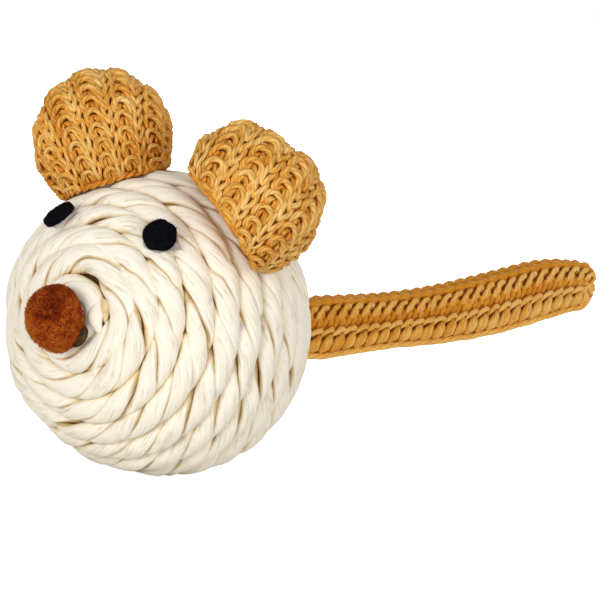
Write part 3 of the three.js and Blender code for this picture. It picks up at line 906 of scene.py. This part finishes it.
def knit_ear(side_name, side, shift):
    """A ribbed cover of single stitches over its lining, wadding and glue. shift
    is the place of the middle wale, in wales."""
    source = seeded(5 if side > 0 else 6)
    cloth = EarCloth(ear_direction(side, EAR_LEANS[side_name]), side_name)
    skein = Skein()

    def strand(wale, along, shape, radius, mirror=1, samples=14, shade=0.0):
        shape = np.array(shape) * MM
        curve = smooth_path(shape + source.normal(0, 0.06 * MM, shape.shape), samples)
        points = cloth.point(wale, curve[:, 0] * mirror, along + curve[:, 1], curve[:, 2])
        if distance(points, CENTRE).mean() < COVER_RADIUS + 0.1 * MM:
            return
        points = push_out(points, COVER_RADIUS + radius * 0.8)
        thick = radius * (1 + 0.06 * source.normal()) * cloth.spread(points)
        skein.lay(points, unit(points - cloth.centre), thick, shade=shade + source.normal(0, 0.03))

    wales = int(EAR_RADIUS / WALE_WIDTH) + 1
    limit = asin(EDGE_RADIUS / WALE_ORIGIN) * WALE_ORIGIN / WALE_WIDTH
    for wale in range(-wales, wales + 1):
        if abs(wale + shift) > limit + 0.5:
            continue
        place = max(-limit, min(limit, wale + shift))
        offset = WALE_ORIGIN * sin(place * WALE_WIDTH / WALE_ORIGIN)
        middle = sqrt(EAR_RADIUS**2 - offset**2)
        rows = max(3, round(TURN * middle / ROW_HEIGHT))
        for row in range(rows):
            along = (row - rows / 2 + 0.5 * (wale % 2)) * TURN * middle / rows
            strand(place, along, HEAD, HEAD_YARN, samples=26)
            for mirror in (1, -1):
                strand(place, along, FILL, FILL_YARN, mirror, shade=-0.06)
            if place < limit:
                for link, yarn in zip((LINK_INNER, LINK_OUTER), LINK_YARNS):
                    strand(place, along, link, yarn, samples=16, shade=0.05)
    for direction in (1, -1):
        gather_ear(skein, cloth, direction)
    edge_of_ear(skein, cloth)
    name = f"{side_name}_ear"
    cover = skein.make(
        f"{name}_knit", EAR_YARN, lambda points: distance(points, cloth.centre) - CLOTH_BASE
    )
    dress(cover, "ball", "ear_yarn", f"{name}_cover")
    # The lining's dark colour is painted shade, seen through the gaps of the knit
    lining = ear_shell(f"{name}_lining", cloth, SHADE_LINING_FACES, SHADE_LINING_SEAT, source, 0.004, EAR_SHADE_LINING)
    dress(lining, "ball", "ear_yarn")
    filling = ear_shell(f"{name}_filling", cloth, FILLING_FACES, FILLING_SEAT, source, 0.012, WADDING)
    dress(filling, "ball", "ear_wadding", f"{name}_stuffing")
    dress(ear_glue(f"{name}_glue_pad", cloth, source), "ball", "hot_glue", f"{name}_glue")


def gather_ear(skein, cloth, direction):
    """Where the wales meet at the ear's side: the yarn drawn up in a small coil."""
    slant = asin(EAR_RADIUS / WALE_ORIGIN)
    pole = direction * cos(slant) * cloth.aside - sin(slant) * cloth.axis
    turn = np.linspace(0, 3.2 * TURN, 240)
    angle = 0.02 + 0.068 * turn / TURN
    level = CLOTH_BASE + (0.32 + 0.16 * np.sin(turn * 5)) * MM
    ring = circle(turn, cloth.front, np.cross(pole, cloth.front))
    outward = np.cos(angle)[:, None] * pole + np.sin(angle)[:, None] * ring
    points = cloth.press(cloth.centre + outward * level[:, None], level)
    skein.lay(points, outward, COIL_YARN)


def ear_rim(radius):
    """Angle from the ear's axis, seen from the ball's centre, at which a ball of
    this radius round the ear's centre meets the winding."""
    return acos((COVER_RADIUS**2 + EAR_STAND**2 - radius**2) / (2 * COVER_RADIUS * EAR_STAND))


def edge_of_ear(skein, cloth):
    """The cast-off edge: a twisted chain that lies on the winding round the ear."""
    turn = np.linspace(0, TURN, 300)
    down = cloth.foot_directions(EDGE_RADIUS, turn, COVER_RADIUS)
    inward = unit(cloth.axis - down * (down @ cloth.axis)[:, None])
    for strand in range(2):
        wave = turn * 17 + strand * pi
        direction = unit(down - inward * (0.35 * MM / COVER_RADIUS * np.cos(wave))[:, None])
        level = COVER_RADIUS + (0.27 + 0.3 * np.sin(wave) + 0.08 * np.sin(7 * turn + strand)) * MM
        skein.lay(CENTRE + direction * level[:, None], direction, EDGE_YARN, shade=-0.12)


def ear_shell(name, cloth, faces, seat, source, rough, material):
    """A stuffed part of the ear: a ball cut to the winding, with soft bumps. It is
    solid if it has one face and open below if it has an outer and an inner one."""
    around = even_turns(SHELL_SIDES)
    bumps = seeded_bumps(source, 70, 25)
    rings = []
    for radius, order in zip(faces, (1, -1)):
        limit = cloth.foot(radius, around, seat)
        for share in np.linspace(0, 1, SHELL_RINGS)[::order]:
            angle = 0.02 + (limit - 0.02) * share
            _, direction = cloth.shell(radius, angle, around)
            level = radius * (1 + rough * bumps(direction))
            rings.append(cloth.shell(level, angle, around)[0])
    return tube_object(name, rings, material)


def ear_glue(name, cloth, source):
    """The pad of set glue between the ear and the winding, inside the ear's foot."""
    around = even_turns(64)
    rim = cloth.foot_directions(GLUE_PAD_RIM, around, COVER_RADIUS)
    middle = unit(rim.mean(axis=0))
    rings = []
    for share, level in GLUE_PAD:
        direction = unit(middle + (rim - middle) * share)
        uneven = source.normal(0, 0.03 * MM, len(around))
        rings.append(CENTRE + direction * (COVER_RADIUS + level * MM + uneven)[:, None])
    return tube_object(name, rings, GLUE, inward=True)


knit_ear("left", 1, -0.38)
knit_ear("right", -1, 0.0)

# Tail


class TailForm:
    """Places on the tail's strip. Rows of stitches run along it and turn round
    its end."""

    def __init__(self):
        shares = smooth_path(TAIL_FORM, 200)
        self.along = TAIL_FRONT_SPACE + (TAIL_LENGTH - TAIL_FRONT_SPACE) * shares[:, 0]
        self.lift = TAIL_RISE * shares[:, 1]
        self.height = TAIL_HEIGHT * shares[:, 2]
        self.end = self.along[-1]
        self.half = 0.5 * self.height[-1]
        self.bend = self.half - 0.5 * (FACE_LOW + FACE_HIGH)

    def spine(self, along):
        """Middle of the strip, its direction and its height at a length."""
        along = np.minimum(along, self.end)
        lift = np.interp(along, self.along, self.lift)
        slope = np.interp(along, self.along, np.gradient(self.lift, self.along))
        height = np.interp(along, self.along, self.height)
        zero = 0 * along
        forward = unit(np.stack([zero, zero + 1, slope], -1))
        place = np.stack([zero, along, lift], -1)
        upward = np.stack([zero, -forward[..., 2], forward[..., 1]], -1)
        return place, forward, upward, height

    def outward(self, along, bend, rise):
        """The spine at a length, the way to the strip's edge there, which turns
        round the end in a bend, and how far it has turned. rise is 1 for the upper
        edge and -1 for the lower."""
        middle, forward, upward, height = self.spine(along)
        angle = np.maximum(along - self.end, 0) / bend
        direction = upward * (rise * np.cos(angle))[:, None] + forward * np.sin(angle)[:, None]
        return middle, direction, angle, height

    def place(self, along, outward, across, rise):
        """A place at a length along the strip, outward from the chain row as a
        share of the way to the edge, and across the strip's thickness."""
        middle, direction, angle, height = self.outward(along, self.bend, rise)
        own, other = (0.5 * height - face for face in (FACE_LOW, FACE_HIGH)[::-rise])
        blend = np.clip(angle / pi, 0, 1)
        bulge = TAIL_BULGES[rise] * self.bend * np.sin(np.clip(angle, 0, pi))
        reach = own * (1 - blend) + other * blend + bulge
        return self.aside(middle + direction * (reach * outward)[:, None], across)

    def rim(self, along, beyond, across, rise):
        """A place on the strip's own edge, beyond it by a length."""
        middle, direction, angle, height = self.outward(along, self.half, rise)
        reach = 0.5 * height + 0.1 * self.half * np.sin(np.clip(angle, 0, pi)) + beyond
        return self.aside(middle + direction * reach[:, None], across)

    def aside(self, points, across):
        points[:, 0] += across
        return PIVOT + points


# Tail stitches: along in stitches, outward as a share, and across in mm
POST = [(-0.02, 1.0, 1.3), (0.0, 0.80, 2.1), (0.12, 0.56, 2.3), (0.36, 0.36, 2.1), (0.62, 0.2, 1.6)]
CHAIN = [
    (-0.5, 0.26, 2.3), (-0.27, 0.07, 2.65), (0.05, -0.02, 2.65), (0.38, 0.01, 2.4),
    (0.66, 0.13, 2.0), (0.86, 0.26, 1.5),
]
STUB = [(-0.06, 0.0, 1.3), (-0.04, 0.16, 1.7), (0.02, 0.34, 1.8), (0.06, 0.5, 1.4)]
HOOK = [
    (-0.34, 0.34, 1.6), (-0.34, 0.58, 2.1), (-0.18, 0.82, 2.35), (0.1, 0.99, 2.35),
    (0.38, 0.96, 2.2), (0.56, 0.78, 1.5),
]
HOOK_BODY = [(-0.12, 0.36, 1.4), (-0.08, 0.52, 1.95), (0.02, 0.68, 2.05), (0.14, 0.81, 1.7)]
POST_SPREAD = np.array([0.10, 0.23, 0.23, 0.10, 0.0])
POST_WIDTHS = np.array([0.48, 0.60, 0.60, 0.46, 0.32]) * MM
CHAIN_WIDTHS = np.array([0.32, 0.52, 0.58, 0.56, 0.46, 0.26]) * MM
HOOK_WIDTHS = np.array([0.40, 0.50, 0.52, 0.50, 0.44, 0.34]) * MM
BODY_WIDTHS = np.array([0.40, 0.52, 0.50, 0.36]) * MM
STUB_YARNS = (0.66 * MM, 0.58 * MM)


def knit_tail():
    source = seeded(9)
    form = TailForm()
    skein = Skein(*TAIL_PLIES)

    def strand(at, shape, radius, rise, side, samples, shade, lane=0):
        shape = np.array(shape) + source.normal(0, 0.02, (len(shape), 3))
        if lane:
            shape[:, 0] += lane * POST_SPREAD
        curve = smooth_path(shape, samples)
        points = form.place(at + curve[:, 0] * STITCH, curve[:, 1], side * curve[:, 2] * MM, rise)
        thick = np.asarray(radius) * (1 + 0.05 * source.normal())
        if thick.ndim:
            thick = np.interp(np.linspace(0, 1, samples), np.linspace(0, 1, len(thick)), thick)
        # The yarn is lighter towards the tip and darker towards the root
        root_to_tip = 0.15 * at / form.end - 0.08
        skein.lay(points, (side, 0, 0), thick, shade=shade + root_to_tip + source.normal(0, 0.03))

    start = TAIL_FRONT_SPACE + 0.5 * STITCH
    quarter = 0.5 * pi * form.bend
    stitches = int((form.end - start) / STITCH) + 5
    for side in (1, -1):
        for index in range(stitches):
            at = start + index * STITCH
            if at <= form.end + 1.05 * quarter:
                for lane in (-1, 1, 0):
                    strand(at, POST, POST_WIDTHS, -1, side, 16, 0.03 * lane, lane)
            if at <= form.end + 0.3 * quarter:
                strand(at, CHAIN, CHAIN_WIDTHS, -1, side, 16, 0.07)
            at += 0.4 * STITCH
            if at <= form.end + 0.6 * quarter:
                # The stubs sit in a recess: their darker tone is painted shade
                strand(at, STUB, STUB_YARNS[0], 1, side, 10, -0.14)
                strand(at + 0.48 * STITCH, STUB, STUB_YARNS[1], 1, side, 10, -0.18)
                strand(at, HOOK_BODY, BODY_WIDTHS, 1, side, 10, -0.02)
                strand(at, HOOK, HOOK_WIDTHS, 1, side, 20, 0.05)
    knit = skein.make("tail_crochet", TAIL_YARN, lambda points: np.abs(points[:, 0]) - 1.6 * MM)
    dress(knit, "tail", "tail_yarn", "tail_knit")
    dress(rim_strands(form, source), "tail", "tail_yarn")
    core = tail_core(form)
    dress(core, "tail", "tail_yarn")


def rim_strands(form, source):
    """The strip's edge: smooth strands below and a row of bumps above."""
    skein = Skein(12, 5, 16 * MM, 0.1)
    length = np.arange(TAIL_FRONT_SPACE, form.end + form.half * 0.62 * pi, 0.4 * MM)
    for across, beyond, radius in RIM_STRANDS:
        wave = waves(source, "tail_rim", length)
        ending = np.clip((length[-1] - length) / (4 * MM), 0.04, 1)
        sunk = beyond * MM + wave - 0.7 * MM * (1 - ending) ** 2
        points = form.rim(length, sunk, across * MM * (0.6 + 0.4 * ending), -1)
        skein.lay(points, (1, 0, 0), radius * MM * np.sqrt(ending), shade=0.03)
    share = np.linspace(-0.56, 0.56, 14)
    swell = np.cos(share * 2.8)
    for index in range(round((form.end + form.half * 1.15 - TAIL_FRONT_SPACE) / STITCH)):
        along = TAIL_FRONT_SPACE + (index + 0.5 + share) * STITCH
        for side in (1, -1):
            across = side * (0.75 + 0.35 * swell) * MM
            points = form.rim(along, (0.1 * swell - 0.95) * MM, across, 1)
            thick = (0.42 + 0.42 * swell) * MM
            skein.lay(points, (1, 0, 0), thick, 1.15, source.normal(0, 0.04) - 0.24)
    return skein.make("tail_edge", TAIL_YARN)


def tail_core(form):
    """The dense inside of the strip, which closes the gaps between stitches. Its
    dark colour is painted shade, seen through the gaps. It tapers over a quarter
    turn beyond the strip's end."""
    turn = np.concatenate([np.zeros(90), 0.5 * pi * np.arange(1, 13) / 12.5])
    along = np.concatenate([np.linspace(TAIL_FRONT_SPACE, form.end, 90), np.full(12, form.end)])
    middle, forward, upward, height = form.spine(along)
    middle = PIVOT + middle + forward * ((form.half - 0.6 * MM) * np.sin(turn))[:, None]
    tall = upward * ((0.5 * height - 1.2 * MM) * np.cos(turn))[:, None]
    thin = np.outer(1.55 * MM * np.maximum(np.cos(turn), 0.3), [1, 0, 0])
    rings = sections(middle, tall, thin, np.cos(even_turns(24)), np.sin(even_turns(24)))
    return tube_object("tail_core", rings, TAIL_SHADE_LINING)


def make_tail_root():
    """The knot that the tail turns on: circles of yarn wound over each other."""
    source = seeded(12)
    skein = Skein(*TAIL_PLIES)
    turn = np.linspace(0, TURN, 60)
    for wrap in range(9):
        pole = unit(source.normal(size=3))
        first = unit(np.cross(pole, [0.3, 0.5, 0.8]))
        ring = circle(turn, first, np.cross(pole, first))
        for lane in (-1, 0, 1):
            tilt = lane * 1.7 * KNOT_YARN / KNOT_RADIUS
            outward = ring * cos(tilt) + pole * sin(tilt)
            points = PIVOT + outward * (KNOT_RADIUS - KNOT_YARN)
            thick = KNOT_YARN * (1 - 0.02 * wrap)
            skein.lay(points, outward, thick, shade=source.normal(0, 0.04))
    knot = skein.make("tail_root_yarn", TAIL_YARN)
    dress(knot, "tail_root", "tail_yarn", "tail_root_knot")
    # Its dark core is painted shade, seen between the wraps of the knot
    core = lumpy_ball("tail_root_core", PIVOT, np.eye(3) * 2.7 * MM, source, 0.01, TAIL_SHADE_LINING, 20)
    dress(core, "tail_root", "tail_yarn")


def make_anchor():
    """The yarn end through the core: a three-strand cord with a knot inside."""
    source = seeded(13)
    skein = Skein(12, 4, 6 * MM, 0.25)
    inside = PIVOT_REACH - ANCHOR_START
    reach = np.linspace(inside - ANCHOR_SPACE, 0, 60)
    for strand in range(3):
        turn = reach / ANCHOR_LAY * TURN + strand * TURN / 3
        points = PIVOT + hoop(turn, ANCHOR_SPREAD, reach - inside)
        skein.lay(points, (1, 0, 0), ANCHOR_STRAND)
    for lap in range(5):
        turn = np.linspace(0, TURN, 60) + lap * 1.1
        wide = ANCHOR_KNOT_REACH - 0.25 * MM * abs(lap - 2)
        along = (0.5 + 0.6 * lap + np.sin(turn * 2 + lap) * 0.35) * MM - inside
        points = PIVOT + hoop(turn, wide, along)
        skein.lay(points, (0, -1, 0), ANCHOR_KNOT_YARN, shade=source.normal(0, 0.03))
    dress(skein.make("tail_anchor_yarn", TAIL_YARN), "ball", "tail_yarn", "tail_anchor")


knit_tail()
make_tail_root()
make_anchor()

# Face


def fibres(name, roots, tips, width, material, shade, bend=0.0):
    """Many short tapered fibres as one mesh, each with three sides."""
    along = unit(tips - roots)
    first = unit(np.cross(along, [0.31, 0.87, 0.38]))
    second = np.cross(along, first)
    rings = []
    for place, share in ((roots, 1.0), ((roots + tips) / 2 + bend, 0.85), (tips, 0.25)):
        for angle in (0, TURN / 3, TURN * 2 / 3):
            spread = first * cos(angle) + second * sin(angle)
            rings.append(place + spread * (width * share)[:, None])
    base = np.arange(len(roots))[:, None] * len(rings)
    quads = (base[:, None] + tube_faces(3, 3)).reshape(-1, 4)
    caps = [*(base + [6, 7, 8]), *(base + [2, 1, 0])]
    layers = {"shade": np.repeat(shade, len(rings))}
    return mesh_object(name, np.stack(rings, 1).reshape(-1, 3), quads, caps, material, layers)


def spread_directions(count, source):
    """Even directions over a ball, slightly stirred."""
    index = np.arange(count) + 0.5
    polar = np.arccos(1 - 2 * index / count)
    around = pi * (1 + sqrt(5)) * index
    flat = np.sin(polar)
    even = np.stack([flat * np.cos(around), np.cos(polar), flat * np.sin(around)], -1)
    return unit(even + source.normal(0, 0.03, even.shape))


def make_nose():
    source = seeded(15)
    centre = CENTRE + np.array([NOSE_ASIDE, NOSE_SINK - COVER_RADIUS - NOSE_DEPTH, 0])
    axes = np.array([NOSE_RADIUS, NOSE_DEPTH, NOSE_RADIUS])
    directions = spread_directions(PILE_FIBRES, source)
    swell = seeded_bumps(source, 24, 14)(directions)
    size = 1 + 0.07 * swell + source.normal(0, 0.022, PILE_FIBRES)
    directions[:, 0] *= np.where(directions[:, 0] > 0, FLAT_SHARE, 1.0)
    for across, upright, growth, narrow in NOSE_CORNERS:
        size = size + growth * np.exp((directions @ in_view(across, upright) - 1) * narrow)
    tips = centre + directions * axes * (TIP_SHARE * size)[:, None]
    inward = unit(directions + source.normal(0, 0.3, directions.shape))
    roots = centre + inward * axes * ROOT_SHARE
    clear = distance(tips, CENTRE) > COVER_RADIUS
    tips = tips[clear]
    roots = push_out(roots[clear], COVER_RADIUS + 0.1 * MM)
    low = np.clip(directions[clear] @ -unit(np.array([0.1, 0.2, 1.0])), -1, 1)
    # Painted shade: the pile is darker round that direction, as deep between its fibres
    middle = np.exp((directions[clear] @ unit(np.array(PILE_SHADE_PLACE)) - 1) * 6)
    shade = 0.08 * low + source.normal(0, 0.09, len(roots)) + 0.07 * swell[clear]
    width = source.uniform(0.10, 0.15, len(roots)) * MM
    bend = source.normal(0, 0.12 * MM, roots.shape)
    pile = fibres("nose_pile", roots, tips, width, PILE, shade - 0.22 * middle + 0.06, bend)
    dress(pile, "ball", "pompom_fibre", "nose_pompom")
    inner = np.diag(axes[[0, 2, 1]] * HEART_SHARE)[:, [0, 2, 1]]
    heart = lumpy_ball("nose_heart", centre, inner, source, 0.02, PILE_HEART, 28)
    for vertex in heart.data.vertices:
        vertex.co = push_out(np.array(vertex.co), COVER_RADIUS)
    dress(heart, "ball", "pompom_fibre")
    make_nose_glue(source)


def make_nose_glue(source):
    """The dab under the pompom, and the dark bead with its lint beside it."""
    dab = np.diag(NOSE_GLUE_SIZE)[:, [0, 2, 1]] * MM
    place = CENTRE - np.array([0, COVER_RADIUS - 0.05 * MM, 0])
    glue = lumpy_ball("nose_glue_dab", place, dab, source, 0.05, GLUE, 16, 20)
    dress(glue, "ball", "hot_glue", "nose_glue")
    spot = on_ball(*np.radians(BEAD_PLACE))
    place = CENTRE + spot * (COVER_RADIUS + 0.9 * MM)
    long = unit(np.cross(spot, [0.0, -1.0, 0.0]))
    axes = np.stack([long, np.cross(spot, long), spot]) * np.array(BEAD_SIZE)[:, None] * MM
    bead = lumpy_ball("nose_glue_bead", place, axes, source, 0.16, DARK_GLUE, 24)
    dress(bead, "ball", "hot_glue")
    directions = spread_directions(BEAD_FIBRES, source)
    roots = place + directions @ axes * 0.9
    tips = place + unit(directions + source.normal(0, 0.35, directions.shape)) @ axes * 1.16
    width = source.uniform(0.08, 0.13, len(roots)) * MM
    lint = fibres("nose_glue_lint", roots, tips, width, DARK_GLUE, np.zeros(len(roots)))
    dress(lint, "ball", "pompom_fibre")


def eye_direction(side):
    """In front of the ear on its side, as the frame's own eye lies."""
    ear = ear_direction(side, EAR_LEANS["left"])
    glue = asin((EYE_RADIUS + EYE_GLUE_RIM) / COVER_RADIUS)
    apart = ear_rim(EAR_RADIUS) + glue + EYE_EAR_SPACE / COVER_RADIUS
    upward = side * ear[0] * sin(EYE_ASIDE) + ear[2] * cos(EYE_ASIDE)
    polar = atan2(upward, -ear[1]) - acos(cos(apart) / hypot(upward, ear[1]))
    down, back = (radians(value) for value in EYE_DROPS[side])
    return on_ball(polar - down, side * (back - EYE_ASIDE))


def disc_circle(around, direction):
    """Directions round a disc that faces a direction."""
    first = unit(np.cross([0.0, 0.0, 1.0], direction))
    return circle(around, first, np.cross(direction, first))


def uneven_rim(around, size, rates, source):
    """A closed outline's small seeded waves."""
    return sum(
        source.normal(0, size) * np.cos(rate * around + source.uniform(0, TURN)) for rate in rates
    )


def over_seat(around, facing, direction, reach, seat, level):
    """Places round an eye, at a reach from its middle and a level over its seat."""
    height = np.sqrt(seat**2 - reach**2) + level
    return CENTRE + disc_circle(around, facing) * reach[:, None] + direction * height[:, None]


def felt_eye(name, side):
    """A cut felt dot with a soft uneven edge and short hairs."""
    source = seeded(17 if side > 0 else 18)
    direction = eye_direction(side)
    facing = direction if side > 0 else unit(direction + RIGHT_EYE_LEAN)
    seat = COVER_RADIUS + 0.35 * MM
    around = even_turns(72)
    outline = EYE_RADIUS * (0.99 + uneven_rim(around, 0.010, range(2, 8), source))
    rings = []
    for share, level in EYE_PROFILE:
        rough = source.normal(0, 0.03 * MM, len(around)) * (share > 0.1)
        level = level * EYE_THICKNESS + rough
        rings.append(over_seat(around, facing, direction, outline * share, seat, level))
    eye = tube_object(f"{name}_felt", rings, FELT, inward=True)
    dress(eye, "ball", "black_felt", f"{name}_eye")
    angle = source.uniform(0, TURN, EYE_HAIRS)
    share = np.sqrt(source.uniform(0.1, 1.0, EYE_HAIRS))
    reach = np.interp(angle, around, outline, period=TURN) * share
    level = np.where(share > 0.9, source.uniform(0.2, 0.9, EYE_HAIRS), 0.95)
    roots = over_seat(angle, facing, direction, reach, seat, EYE_THICKNESS * level)
    outward = disc_circle(angle, facing) * np.where(share > 0.85, 0.8, 0)[:, None]
    outward = outward + source.normal(0, 0.5, roots.shape)
    tips = unit(outward + direction * 0.25) * source.uniform(0.12, 0.3, EYE_HAIRS)[:, None]
    width = np.full(EYE_HAIRS, 0.05 * MM)
    tone = source.normal(0, 0.1, EYE_HAIRS)
    hairs = fibres(f"{name}_hairs", roots, roots + tips * MM, width, FELT_HAIR, tone)
    dress(hairs, "ball", "black_felt")
    eye_glue(name, direction, source)


def eye_glue(name, direction, source):
    """A thin uneven collar of set glue, with one lump beside the eye."""
    around = even_turns(96)
    uneven = uneven_rim(around, 0.022, range(1, 9), source)
    lump_at, lump_size, overhang = GLUE_LUMPS[name]
    lump = np.exp(-((nearest_turn(around - lump_at) / 0.16) ** 2))
    radius = (EYE_RADIUS + overhang * MM) * (1 + uneven) + lump * lump_size * MM
    rings = []
    for outward, level in COLLAR_SECTION:
        reach = radius + outward * MM
        level = (level * (1 + 1.6 * lump) - 0.25) * MM
        rings.append(over_seat(around, direction, direction, reach, COVER_RADIUS, level))
    points = np.concatenate(rings)
    quads = tube_faces(len(rings) + 1, len(around)) % len(points)
    glue = GLUE if name == "left" else CLEAR_GLUE
    collar = mesh_object(f"{name}_glue_collar", points, quads, (), glue)
    dress(collar, "ball", "hot_glue", f"{name}_eye_glue")


make_nose()
felt_eye("left", 1)
felt_eye("right", -1)

# Inside the ball


def make_pouch():
    """A gathered cotton bag of catnip: pleats run from its shoulder to its neck."""
    around = even_turns(120)
    wave = np.cos(PLEATS * around + 0.8 * np.sin(3 * around)) + 0.3 * np.cos(5 * around + 2)
    profile = smooth_path(POUCH_PROFILE, 60) * MM
    rings = []
    for share, (reach, along) in zip(np.linspace(0, 1, len(profile)), profile):
        pleat = 0.02 + 0.13 * np.clip((share - 0.55) / 0.3, 0, 1)
        wide = reach * (1 - pleat * (0.65 + 0.5 * wave) * 0.6)
        rings.append(CENTRE + hoop(around, wide, along))
    pouch = tube_object("pouch_bag", rings, CLOTH, inward=True)
    dress(pouch, "ball", "pouch_cloth", "catnip_pouch")
    tie = Skein(8, 3, 3 * MM, 0.25)
    turn = np.linspace(0, TURN, 60)
    for lap in range(3):
        points = CENTRE + hoop(turn, TIE_RADIUS, TIE_PLACE + TIE_PITCH * lap)
        tie.lay(points, (0, 1, 0), 0.4 * MM)
    dress(tie.make("pouch_tie", CLOTH), "ball", "pouch_cloth")


make_pouch()

for node in ("core_front_shell", "core_rear_shell"):
    materials = frame["nodes"][node].data.materials
    materials.clear()
    materials.append(PLASTIC)

# Stage, light and camera


def make_camera():
    data = bpy.data.cameras.new("camera")
    data.lens = CAMERA_LENS
    data.sensor_width = 36
    data.clip_start = 0.01
    data.clip_end = 20
    camera = in_scene(bpy.data.objects.new("camera", data))
    turned = Matrix.Identity(3)
    for degrees, axis in ((CAMERA_AZIMUTH, "Z"), (90 - CAMERA_ELEVATION, "X"), (CAMERA_ROLL, "Z")):
        turned = turned @ Matrix.Rotation(radians(degrees), 3, axis)
    camera.rotation_mode = "QUATERNION"
    camera.rotation_quaternion = turned.to_quaternion()
    camera.location = Vector(CENTRE) + turned @ Vector(CAMERA_PLACE) * MM
    bpy.context.scene.camera = camera


def area_light(name, place, size, power):
    data = bpy.data.lights.new(name, "AREA")
    data.shape = "DISK"
    data.size = size
    data.energy = power
    lamp = in_scene(bpy.data.objects.new(name, data))
    lamp.location = place
    lamp.rotation_mode = "QUATERNION"
    lamp.rotation_quaternion = (Vector(place) - Vector(LIGHT_TARGET)).to_track_quat("Z", "Y")


def make_stage():
    nodes = Nodes(bpy.data.materials.new("pale_floor"))
    grain = nodes.noise(nodes.position(), 3.0, 2.0)
    colour = nodes.ramp(grain, [(0.3, (0.90, 0.90, 0.90)), (0.7, (0.92, 0.92, 0.92))])
    shader = nodes.tree.nodes["Principled BSDF"].inputs
    shader["Emission Color"].default_value = (1, 1, 1, 1)
    nodes.feed(shader["Emission Strength"], nodes.math("MULTIPLY", nodes.seen_directly(), FLOOR_GLOW))
    corners = np.array([(-1, -1, 0), (1, -1, 0), (1, 1, 0), (-1, 1, 0)]) * FLOOR_REACH
    mesh_object("floor", corners, [(0, 1, 2, 3)], (), nodes.finish(colour, 0.9, 0.5))
    world = bpy.data.worlds.new("studio")
    bpy.context.scene.world = world
    nodes = Nodes(world)
    light = nodes.tree.nodes["Background"]
    nodes.feed(light.inputs["Color"], (1, 1, 1))
    nodes.feed(light.inputs["Strength"], WORLD_LIGHT)
    seen = nodes.add("ShaderNodeBackground", {"Color": (1, 1, 1), "Strength": 1.0})
    mixed = nodes.add("ShaderNodeMixShader", {0: nodes.seen_directly(), 1: light.outputs[0], 2: seen})
    nodes.feed(nodes.tree.nodes["World Output"].inputs[0], mixed)
    for lamp in LIGHTS:
        area_light(*lamp)
    bpy.context.scene.view_settings.view_transform = "Standard"


make_stage()
make_camera()
